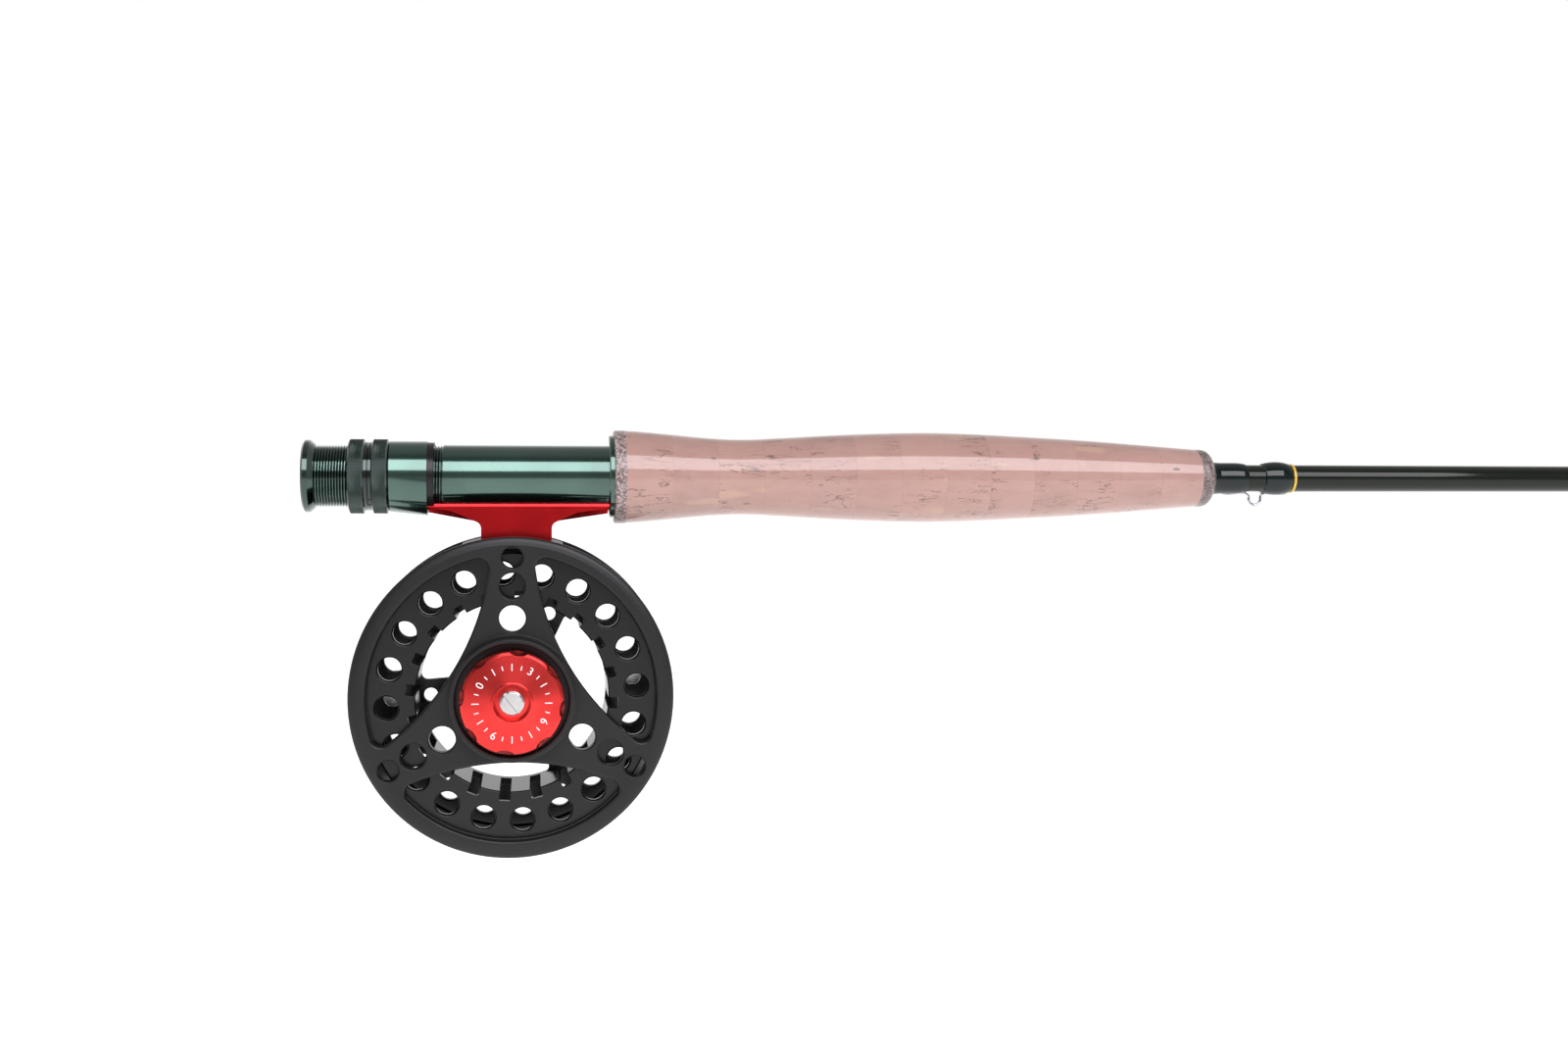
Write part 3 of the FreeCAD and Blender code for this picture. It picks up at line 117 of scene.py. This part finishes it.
CORK_BODY = ((0.25, (0.30, 0.175, 0.148)), (0.5, (0.36, 0.215, 0.186)), (0.78, (0.41, 0.25, 0.215)))
CORK_WARM = (0.40, 0.235, 0.19)
CORK_GRAIN = (0.27, 0.15, 0.115)
CORK_CRACK = (0.12, 0.07, 0.055)
CORK_PORE = (0.11, 0.065, 0.05)
CORK_PALE = (0.46, 0.30, 0.21)
CORK_SEAM = (0.25, 0.14, 0.10)
CRUMBS = ((0.1, (0.06, 0.045, 0.044)), (0.45, (0.18, 0.132, 0.126)), (0.9, (0.42, 0.32, 0.31)))
CRUMB_DUST = (0.24, 0.17, 0.15)


def shade(colour, factor):
    """The colour made darker or lighter."""
    return tuple(min(1.0, channel * factor) for channel in colour)


# ------------------------------------------------------------------ material helpers
SOCKETS = {"metallic": "Metallic", "coat": "Coat Weight", "coat_roughness": "Coat Roughness",
           "coat_ior": "Coat IOR", "anisotropic": "Anisotropic", "specular": "Specular IOR Level"}
MIX_SHARE, MIX_FIRST, MIX_SECOND, MIX_COLOUR = 0, 6, 7, 2  # the Mix node's places for colours


class Tree:
    """The node tree of a material or world, with short calls for the nodes used here."""

    def __init__(self, owner, shader="Principled BSDF", space="Object"):
        owner.use_nodes = True
        self.owner = owner
        self.tree = owner.node_tree
        self.shader = self.tree.nodes[shader]
        self.place = self.add("ShaderNodeTexCoord").outputs[space]

    def add(self, kind, **settings):
        node = self.tree.nodes.new(kind)
        for key, value in settings.items():
            setattr(node, key, value)
        return node

    def link(self, source, target):
        self.tree.links.new(source, target)

    def feed(self, node, values):
        """Links or sets the node's inputs. A colour is given without its alpha."""
        for key, value in values.items():
            socket = node.inputs[key]
            if isinstance(value, bpy.types.NodeSocket):
                self.link(value, socket)
            else:
                socket.default_value = (*value, 1.0) if socket.type == "RGBA" else value
        return node

    def axis(self, letter):
        return self.feed(self.add("ShaderNodeSeparateXYZ"), {"Vector": self.place}).outputs[letter]

    def stretched(self, scale):
        node = self.feed(self.add("ShaderNodeMapping"), {"Vector": self.place, "Scale": scale})
        return node.outputs["Vector"]

    def noise(self, scale, detail=3.0, stretch=None, roughness=0.5, distortion=0.0):
        place = self.stretched(stretch) if stretch else self.place
        node = self.feed(self.add("ShaderNodeTexNoise"), {
            "Vector": place, "Scale": scale, "Detail": detail, "Roughness": roughness,
            "Distortion": distortion})
        return node.outputs["Fac"]

    def cells(self, scale, stretch=None):
        place = self.stretched(stretch) if stretch else self.place
        return self.feed(self.add("ShaderNodeTexVoronoi"), {"Vector": place, "Scale": scale})

    def ramp(self, value, stops):
        node = self.feed(self.add("ShaderNodeValToRGB"), {"Fac": value})
        elements = node.color_ramp.elements
        while len(elements) < len(stops):
            elements.new(0.5)
        for element, (position, colour) in zip(elements, stops):
            element.position = position
            element.color = (*colour, 1.0)
        return node.outputs["Color"]

    def tint(self, value, dark, light):
        """From the dark colour to the light one over the middle of a noise's range."""
        return self.ramp(value, ((0.3, dark), (0.7, light)))

    def grey(self, value, low, high, dark=0.0, light=1.0):
        return self.ramp(value, ((low, (dark,) * 3), (high, (light,) * 3)))

    def mix(self, share, first, second):
        node = self.add("ShaderNodeMix", data_type="RGBA")
        return self.feed(node, {MIX_SHARE: share, MIX_FIRST: first, MIX_SECOND: second}).outputs[MIX_COLOUR]

    def maths(self, operation, first, second=0.0):
        return self.feed(self.add("ShaderNodeMath", operation=operation), {0: first, 1: second}).outputs[0]

    def vector(self, operation, first, second=(0.0, 0.0, 0.0)):
        node = self.feed(self.add("ShaderNodeVectorMath", operation=operation), {0: first, 1: second})
        return node.outputs["Value" if operation == "LENGTH" else "Vector"]

    def spread(self, value, first, last, start=0.0, end=1.0):
        """From the first number to the last while the value goes from start to end."""
        node = self.feed(self.add("ShaderNodeMapRange"), {
            "Value": value, "From Min": start, "From Max": end, "To Min": first, "To Max": last})
        return node.outputs["Result"]

    def finish(self, colour, roughness, height=None, depth=0.0, edge=0.0, **uniform):
        """Connects the shader and returns the material: bump of that depth, edges eased by that radius."""
        self.feed(self.shader, {"Base Color": colour, "Roughness": roughness})
        normal = None
        if edge:
            normal = self.feed(self.add("ShaderNodeBevel", samples=4), {"Radius": edge}).outputs["Normal"]
        if height is not None:
            bump = self.feed(self.add("ShaderNodeBump"), {
                "Height": height, "Distance": depth, "Strength": 1.0})
            if normal is not None:
                self.link(normal, bump.inputs["Normal"])
            normal = bump.outputs["Normal"]
        if normal is not None:
            self.link(normal, self.shader.inputs["Normal"])
        self.feed(self.shader, {SOCKETS[key]: value for key, value in uniform.items()})
        return self.owner


def surface(name):
    return Tree(bpy.data.materials.new(name))


def anodised(name, colour, roughness=0.16, cuts=(9000.0, 40.0, 40.0), edge=0.15 * MM, coat=1.0, painted_shade_radii=None):
    """Dyed anodised metal with faint machining lines, cloudy variation and, if asked, painted shade in the
    cut grooves.

    cuts is the density of the machining lines along each axis. The last argument gives the distances from the
    rod's axis at which the painted shade in a groove is darkest and at which it ends.
    """
    tree = surface(name)
    cloud = tree.noise(60.0, detail=4.0)
    tint = tree.tint(cloud, shade(colour, 0.82), shade(colour, 1.12))
    # Painted shade: the colour darkens in the thread or knurl grooves, most at the inner of the two radii.
    if painted_shade_radii:
        distance = tree.vector("LENGTH", tree.vector("MULTIPLY", tree.place, ACROSS_ROD))
        depth = tree.spread(distance, first=0.85, last=0.0, start=painted_shade_radii[0], end=painted_shade_radii[1])
        tint = tree.mix(depth, tint, GROOVE_PAINTED_SHADE)
    lines = tree.noise(1.0, detail=2.0, stretch=cuts)
    rough = tree.spread(lines, roughness * 0.75, roughness * 1.3)
    return tree.finish(tint, rough, lines, depth=0.004 * MM, edge=edge, metallic=1.0, coat=coat,
                       coat_roughness=0.05)


def satin_black(name, level=0.008, roughness=0.38, specular=0.34):
    """Black anodising with a fine blasted grain."""
    tree = surface(name)
    grain = tree.noise(5200.0, detail=2.0)
    tint = tree.tint(tree.noise(45.0), shade((0.8, 0.8, 0.83), level), shade((1.2, 1.2, 1.25), level))
    rough = tree.spread(grain, roughness * 0.88, roughness * 1.15)
    return tree.finish(tint, rough, grain, depth=0.008 * MM, edge=0.3 * MM, specular=specular)


def steel(name, colour=(0.62, 0.61, 0.6), roughness=0.2):
    """Bright steel with faint brushing."""
    tree = surface(name)
    lines = tree.noise(1.0, stretch=(400.0, 5000.0, 400.0))
    tint = tree.tint(tree.noise(300.0), shade(colour, 0.85), colour)
    rough = tree.spread(lines, roughness * 0.7, roughness * 1.4)
    return tree.finish(tint, rough, lines, depth=0.003 * MM, edge=0.1 * MM, metallic=1.0)


def cork(name):
    """Lacquered cork rings with pits, cracks and pale streaks. Each ring has its own tone and grain."""
    tree = surface(name)
    step = tree.maths("DIVIDE", tree.maths("SUBTRACT", tree.axis("X"), CORK_START), CORK_PITCH)
    ring = tree.maths("FLOOR", step)
    tone = tree.feed(tree.add("ShaderNodeTexWhiteNoise", noise_dimensions="1D"), {"W": ring}).outputs["Value"]
    # Each ring takes its grain from a place of its own in the noise.
    shift = tree.feed(tree.add("ShaderNodeCombineXYZ"), {
        "Y": tree.maths("MULTIPLY", ring, 0.37), "Z": tree.maths("MULTIPLY", ring, 0.61)})
    tree.place = tree.vector("ADD", tree.place, shift.outputs["Vector"])

    body = tree.noise(95.0, detail=5.0, stretch=(0.6, 1.0, 1.0), roughness=0.6)
    colour = tree.mix(tree.spread(tone, 0.0, 0.5), tree.ramp(body, CORK_BODY), CORK_WARM)
    grain = tree.noise(420.0, detail=6.0, stretch=(0.35, 1.0, 1.0), roughness=0.7)
    colour = tree.mix(tree.grey(grain, 0.5, 0.75, light=0.35), colour, CORK_GRAIN)

    patch = tree.grey(tree.noise(70.0), 0.50, 0.62)
    crack = tree.noise(300.0, detail=5.0, stretch=(0.2, 1.0, 1.0), roughness=0.65, distortion=0.5)
    crack_line = tree.maths("ABSOLUTE", tree.maths("SUBTRACT", crack, 0.5))
    crack_mask = tree.maths("MULTIPLY", tree.grey(crack_line, 0.004, 0.014, dark=1.0, light=0.0), patch)
    colour = tree.mix(crack_mask, colour, CORK_CRACK)

    pore = tree.cells(330.0, stretch=(0.4, 1.0, 1.0)).outputs["Distance"]
    gate = tree.grey(tree.noise(120.0, detail=2.0), 0.56, 0.66)
    pore_mask = tree.maths("MULTIPLY", tree.grey(pore, 0.10, 0.19, dark=1.0, light=0.0), gate)
    colour = tree.mix(pore_mask, colour, CORK_PORE)

    pale = tree.grey(tree.noise(170.0, detail=2.0, stretch=(0.22, 1.0, 1.0)), 0.66, 0.70, light=0.5)
    colour = tree.mix(pale, colour, CORK_PALE)

    part = tree.maths("FRACT", step)
    seam = tree.maths("MINIMUM", part, tree.maths("SUBTRACT", 1.0, part))
    colour = tree.mix(tree.grey(seam, 0.004, 0.018, dark=0.16, light=0.0), colour, CORK_SEAM)

    hollows = tree.maths("MULTIPLY", tree.maths("ADD", crack_mask, pore_mask), 0.7)
    height = tree.maths("SUBTRACT", grain, hollows)
    return tree.finish(colour, tree.spread(grain, 0.42, 0.6), height, depth=0.05 * MM,
                       coat=1.0, coat_roughness=0.085, coat_ior=1.5, specular=0.2)


def composite(name, light=1.0):
    """Rubberised cork: dark and pale crumbs pressed together."""
    tree = surface(name)
    crumbs = tree.cells(2100.0)
    value = tree.feed(tree.add("ShaderNodeSeparateColor"), {"Color": crumbs.outputs["Color"]}).outputs["Red"]
    colour = tree.ramp(value, [(place, shade(tone, light)) for place, tone in CRUMBS])
    dust = tree.grey(tree.noise(3500.0), 0.4, 0.7, light=0.5)
    colour = tree.mix(dust, colour, shade(CRUMB_DUST, light))
    return tree.finish(colour, tree.spread(value, 0.35, 0.6), crumbs.outputs["Distance"], depth=0.06 * MM,
                       coat=0.5, coat_roughness=0.22)


def gloss_blank(name, low, high):
    """Dark varnish over wrapped fibre."""
    tree = surface(name)
    wrap = tree.noise(1.0, stretch=(260.0, 900.0, 900.0))
    flecks = tree.noise(2400.0, detail=2.0)
    colour = tree.mix(tree.spread(wrap, 0.2, 0.9), low, high)
    return tree.finish(colour, tree.spread(flecks, 0.28, 0.42), wrap, depth=0.012 * MM,
                       coat=1.0, coat_roughness=0.05, coat_ior=1.34, specular=0.03)


def winding(name, low, high, pitch=0.22 * MM):
    """Turns of thread under a clear resin that is a little wavy, told apart by painted shade: each turn
    darker where it meets the next and lighter along its middle.
    """
    tree = surface(name)
    turns = tree.maths("FRACT", tree.maths("DIVIDE", tree.axis("X"), pitch))
    # Painted shade between the turns: from the low colour where turns meet to the high colour along each
    # turn's middle.
    painted_turn_shade = tree.maths("SINE", tree.maths("MULTIPLY", turns, math.pi))
    soft = tree.noise(180.0)
    colour = tree.mix(tree.maths("MULTIPLY", painted_turn_shade, tree.spread(soft, 0.6, 1.0)), low, high)
    return tree.finish(colour, tree.spread(soft, 0.3, 0.45), soft, depth=0.06 * MM,
                       coat=1.0, coat_roughness=0.03, coat_ior=1.42, specular=0.0)


def plain(name, colour, roughness, scale=900.0, **uniform):
    """Moulded or ground surface with a little grain."""
    tree = surface(name)
    grain = tree.noise(scale)
    tint = tree.tint(grain, shade(colour, 0.8), colour)
    return tree.finish(tint, tree.spread(grain, roughness * 0.85, roughness * 1.2), grain,
                       depth=0.01 * MM, edge=0.1 * MM, **uniform)


def turned_red(name):
    """The knob's red: light spreads across circular cuts round the reel's axis, which lean outwards."""
    tree = surface(name)
    middle = tree.vector("SUBTRACT", tree.place, (REEL_X, 0.0, REEL_Z))
    flat = tree.vector("MULTIPLY", middle, ACROSS_REEL)
    radius = tree.vector("LENGTH", flat)
    tree.link(tree.vector("NORMALIZE", flat), tree.shader.inputs["Tangent"])
    cuts = tree.feed(tree.add("ShaderNodeTexNoise", noise_dimensions="1D"), {
        "W": radius, "Scale": 7000.0, "Detail": 2.0}).outputs["Fac"]
    colour = tree.tint(tree.noise(90.0), *KNOB_REDS)
    crown = tree.maths("MULTIPLY", radius, -KNOB_CROWN)
    height = tree.maths("ADD", crown, tree.maths("MULTIPLY", cuts, 0.002 * MM))
    return tree.finish(colour, tree.spread(cuts, 0.2, 0.28), height, depth=1.0, edge=0.2 * MM,
                       metallic=1.0, anisotropic=0.7)


def dial_paint(name):
    """White paint of the dial's bars and numerals."""
    tree = surface(name)
    grain = tree.noise(4000.0, detail=2.0)
    tint = tree.tint(grain, *PAINT_WHITES)
    return tree.finish(tint, tree.spread(grain, 0.4, 0.55), grain, depth=0.003 * MM)


# ------------------------------------------------------------------ materials of the solids
green = anodised("green_anodised", GREEN)
# The threaded barrel and the knurled rings get painted shade in their grooves.
grooved = anodised("green_threaded", GREEN, painted_shade_radii=(7.9 * MM, 8.3 * MM))
knurled = anodised("green_knurled", GREEN, 0.22, painted_shade_radii=(RING_RIM - 0.18 * MM, RING_RIM - 0.03 * MM))
black = satin_black("reel_black")
# Painted shade: the spool, which lies deep inside the frame, takes a darker copy of the reel's black
# anodising; it is also glossier.
spool_black_painted_shade = satin_black("spool_black_painted_shade", level=0.003, roughness=0.24, specular=0.38)
red = anodised("red_anodised", RED, 0.24, cuts=(40.0, 40.0, 5000.0), edge=0.2 * MM, coat=0.2)
knob_material = turned_red("red_turned")
bright = steel("bright_steel")
dark_steel = steel("drag_steel", (0.42, 0.42, 0.43), 0.3)
wire = steel("guide_wire", (0.50, 0.48, 0.54), 0.12)
cork_material = cork("cork")
trim_material = composite("composite_cork")
front_trim = composite("composite_cork_dark", light=0.55)
# Painted shade: the butt cap takes the same green anodising darkened to less than half.
cap_green_painted_shade = anodised("green_cap_painted_shade", shade(GREEN, 0.45))
blank = gloss_blank("olive_blank", (0.002, 0.0035, 0.002), (0.007, 0.010, 0.006))
thread_green = winding("green_winding", (0.001, 0.003, 0.003), (0.003, 0.010, 0.008))
thread_gold = winding("gold_winding", (0.38, 0.22, 0.03), (0.85, 0.58, 0.10), pitch=0.18 * MM)
bush = plain("bush_black", (0.008, 0.006, 0.009), 0.25, specular=0.3)
core = plain("seat_core", (0.14, 0.12, 0.11), 0.7)
ceramic = plain("guide_ceramic", (0.03, 0.03, 0.035), 0.08, coat=1.0, coat_roughness=0.03)
fibre = plain("drag_fibre", (0.05, 0.05, 0.05), 0.55, scale=2500.0)
white = dial_paint("dial_white")

BY_SLOT = {
    "green_anodised": green, "black_anodised": black, "red_anodised": red, "silver_steel": bright,
    "black_plastic": bush, "seat_core": core, "cork": cork_material, "composite_cork": trim_material,
    "olive_blank": blank, "green_winding": thread_green, "gold_winding": thread_gold,
    "chrome_wire": wire, "ceramic_ring": ceramic, "drag_fibre": fibre,
}
# Nodes that don't look like the rest of their slot. The spool and the butt cap take darker copies of their
# slot's material, as painted shade.
BY_NODE = {
    "spool": spool_black_painted_shade, "drag_knob": knob_material, "drag_hub": dark_steel, "spindle": dark_steel,
    "butt_cap": cap_green_painted_shade, "front_trim_ring": front_trim,
}


def smooth(obj, angle=28.0):
    """Smooth shading that keeps edges sharper than the angle."""
    mesh = obj.data
    mesh.shade_smooth()
    mesh.set_sharp_from_angle(angle=math.radians(angle))


def paint(obj, material):
    obj.data.materials.clear()
    obj.data.materials.append(material)


for entry in frame["record"]["subparts"]:
    node = nodes[entry["node"]]
    paint(node, BY_NODE.get(entry["node"], BY_SLOT[entry["material_slot"]]))
    smooth(node)


# ------------------------------------------------------------------ turned pieces with fine relief
def add_object(name, data, material=None):
    """An object in the scene, painted if a material is given."""
    obj = bpy.data.objects.new(name, data)
    scene.collection.objects.link(obj)
    if material:
        paint(obj, material)
    return obj


def sleeve(name, rows, segments, radius_at, inner, material, body, replaced):
    """A tube round the rod's axis, whose outer radius is a function of distance and angle."""
    turns = [2 * math.pi * number / segments for number in range(segments)]
    rings = [[(x, radius_at(x, turn)) for turn in turns] for x in rows]
    rings += [[(end, inner)] * segments for end in (rows[-1], rows[0])]
    vertices = [(x, -radius * math.cos(turn), radius * math.sin(turn))
                for ring in rings for turn, (x, radius) in zip(turns, ring)]
    faces = []
    for row in range(len(rings)):
        next_row = (row + 1) % len(rings)
        for number in range(segments):
            after = (number + 1) % segments
            faces.append((row * segments + number, row * segments + after,
                          next_row * segments + after, next_row * segments + number))
    mesh = bpy.data.meshes.new(name)
    mesh.from_pydata(vertices, [], faces)
    mesh.update()
    obj = add_object(name, mesh, material)
    smooth(obj, angle=32.0)
    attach(obj, body)
    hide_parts(replaced)


def wave(position):
    """A triangle wave from 0 at whole numbers to 1 halfway between."""
    part = position % 1.0
    return 2 * part if part < 0.5 else 2 - 2 * part


def spaced(start, end, step):
    """Evenly spaced stations from start to end, both included."""
    count = max(1, round((end - start) / step))
    return [start + (end - start) * number / count for number in range(count + 1)]


def make_barrel():
    """Seat barrel. Its helical thread shows behind the rings and for a little way in front of the bush."""
    low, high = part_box("seat_barrel")

    def radius_at(x, turn):
        if x > THREAD_END:
            return high.z
        cut = (1 + THREAD_FLAT) * wave(x / THREAD_PITCH - turn / (2 * math.pi)) - THREAD_FLAT
        fade = min(1.0, (THREAD_END - x) / THREAD_FADE)
        return THREAD_CREST - THREAD_DEPTH * max(0.0, cut) * fade

    rows = spaced(low.x, THREAD_END, THREAD_PITCH / THREAD_STATIONS)
    rows += [THREAD_END + 2 * STEP] + spaced(THREAD_END + 2 * MM, high.x, step=6 * MM)
    sleeve("seat_barrel_threaded", rows, BARREL_SEGMENTS, radius_at, BARREL_BORE, grooved, "rod_butt",
           "seat_barrel")


def make_lock_ring(node, body):
    """A lock ring with diamond knurling between its chamfered rims, and a plain collar on one side."""
    low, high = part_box(node)
    rim = high.z
    front_collar = node.startswith("rear")
    start = low.x if front_collar else low.x + COLLAR_WIDTH
    end = high.x - COLLAR_WIDTH if front_collar else high.x
    size = 2 * math.pi * rim / KNURLS

    def radius_at(x, turn):
        near = min(x - start, end - x)
        if near < -STEP / 10:
            return COLLAR_RADIUS
        top = rim - max(0.0, RING_CHAMFER - near)
        if near < RING_BORDER:
            return top
        u = turn * KNURLS / (2 * math.pi)
        v = (x - start) / size
        return top - KNURL_DEPTH * (1 - min(wave(u + v), wave(u - v)))

    inset = RING_BORDER + 10 * STEP
    rows = spaced(start, start + RING_BORDER, RING_BORDER / 3)
    rows += spaced(start + inset, end - inset, size / KNURL_STATIONS)
    rows += spaced(end - RING_BORDER, end, RING_BORDER / 3)
    if front_collar:
        rows += [end + STEP, high.x]
    else:
        rows = [low.x, start - STEP] + rows
    sleeve(node + "_knurled", rows, KNURLS * KNURL_STATIONS, radius_at, RING_BORE, knurled, body,
           node)


make_barrel()
make_lock_ring("front_lock_ring", "lock_ring")
make_lock_ring("rear_lock_ring", "second_lock_ring")


# ------------------------------------------------------------------ dial on the drag knob
def dial_spot(degrees):
    """The place of a mark on the dial. The angle goes anticlockwise from the rod's direction."""
    turn = math.radians(degrees)
    return Vector((REEL_X + DIAL_RADIUS * math.cos(turn), KNOB_FACE - PAINT_LIFT,
                   REEL_Z + DIAL_RADIUS * math.sin(turn)))


def tick(number, degrees, length):
    """A painted bar on the dial, lying along the radius."""
    mesh = bpy.data.meshes.new(f"dial_mark_{number}")
    vertices = [(a * length / 2, b * PAINT_HALF_DEPTH, c * HALF_MARK_WIDTH)
                for a in (-1, 1) for b in (-1, 1) for c in (-1, 1)]
    faces = [(0, 1, 3, 2), (4, 6, 7, 5), (0, 4, 5, 1), (2, 3, 7, 6), (0, 2, 6, 4), (1, 5, 7, 3)]
    mesh.from_pydata(vertices, [], faces)
    obj = add_object(f"dial_mark_{number}", mesh, white)
    obj.location = dial_spot(degrees)
    obj.rotation_euler = (0, -math.radians(degrees), 0)
    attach(obj, "knob")


def digit(text, degrees):
    """A generic numeral whose top points away from the dial's centre."""
    curve = bpy.data.curves.new(f"dial_digit_{text}", "FONT")
    curve.body = text
    curve.size = NUMERAL_SIZE
    curve.align_x = "CENTER"
    curve.align_y = "CENTER"
    curve.extrude = PAINT_HALF_DEPTH
    obj = add_object(f"dial_digit_{text}", curve, white)
    obj.location = dial_spot(degrees)
    obj.rotation_euler = (math.pi / 2, math.radians(90 - degrees), 0)
    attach(obj, "knob")


def make_dial():
    for number in range(DIAL_MARKS):
        degrees = DIAL_START - number * 360 // DIAL_MARKS
        if degrees in DIAL_NUMERALS:
            digit(DIAL_NUMERALS[degrees], degrees)
        else:
            tick(number, degrees, SHORT_MARK if number % 2 else LONG_MARK)


make_dial()


# ------------------------------------------------------------------ studio
FLOOR_HALF = 60.0
FLOOR_HEIGHT = -0.16

KEY_PLACE = (0.42, -1.15, 0.92)
KEY_TARGET = (0.42, 0.0, 0.0)
KEY_WIDTH = 1.5
KEY_LENGTH = 0.95
KEY_WATTS = 26.0

CAMERA_PLACE = (60.8 * MM, -482.9 * MM, 4.6 * MM)
CAMERA_DEGREES = (90 - 2.03, -0.21, -8.11)  # looking a little down and towards the rod's tip
CAMERA_LENS = 40.28  # in millimetres, as is the sensor's width
CAMERA_SENSOR = 36.0
CAMERA_NEAR = 0.02
CAMERA_FAR = 200.0


def floor_white(name):
    """Pale floor that glows a little behind the object, so that it stays white out to the horizon."""
    tree = surface(name)
    cloud = tree.noise(3.0, detail=2.0)
    tint = tree.ramp(cloud, tuple(zip((0.0, 1.0), FLOOR_WHITES)))
    glow = tree.spread(tree.axis("Y"), 0.1, 0.7, start=-0.7, end=-0.05)
    tree.feed(tree.shader, {"Emission Color": WHITE, "Emission Strength": glow})
    return tree.finish(tint, tree.spread(cloud, 0.85, 0.95), specular=0.0)


def stage_floor():
    mesh = bpy.data.meshes.new("floor")
    corners = ((-1, -1), (1, -1), (1, 1), (-1, 1))
    mesh.from_pydata([(a * FLOOR_HALF, b * FLOOR_HALF, FLOOR_HEIGHT) for a, b in corners], [], [(0, 1, 2, 3)])
    floor = add_object("floor", mesh, floor_white("floor_white"))


def key_light():
    """One wide soft light above the rod and well in front of it."""
    light = bpy.data.lights.new("key", "AREA")
    light.shape = "RECTANGLE"
    light.size = KEY_WIDTH
    light.size_y = KEY_LENGTH
    light.energy = KEY_WATTS
    light.color = KEY_LIGHT
    obj = add_object("key", light)
    obj.location = KEY_PLACE
    obj.rotation_euler = (Vector(KEY_TARGET) - Vector(KEY_PLACE)).to_track_quat("-Z", "Y").to_euler()


def studio_world():
    """White near the horizon behind the object, and dimmer overhead and in front of it."""
    world = bpy.data.worlds.new("studio")
    tree = Tree(world, shader="Background", space="Generated")
    overhead = tree.spread(tree.axis("Z"), 1.0, 0.45, start=0.32, end=0.75)
    behind = tree.spread(tree.axis("Y"), 0.35, 1.0, start=-0.45, end=-0.05)
    tree.feed(tree.shader, {"Color": WHITE, "Strength": tree.maths("MULTIPLY", overhead, behind)})
    scene.world = world


def make_camera():
    camera = bpy.data.cameras.new("camera")
    camera.sensor_width = CAMERA_SENSOR
    camera.lens = CAMERA_LENS
    camera.clip_start = CAMERA_NEAR
    camera.clip_end = CAMERA_FAR
    obj = add_object("camera", camera)
    obj.location = CAMERA_PLACE
    obj.rotation_euler = [math.radians(angle) for angle in CAMERA_DEGREES]
    scene.camera = obj


stage_floor()
studio_world()
key_light()
make_camera()
scene.view_settings.view_transform = "Standard"
scene.view_settings.look = "None"
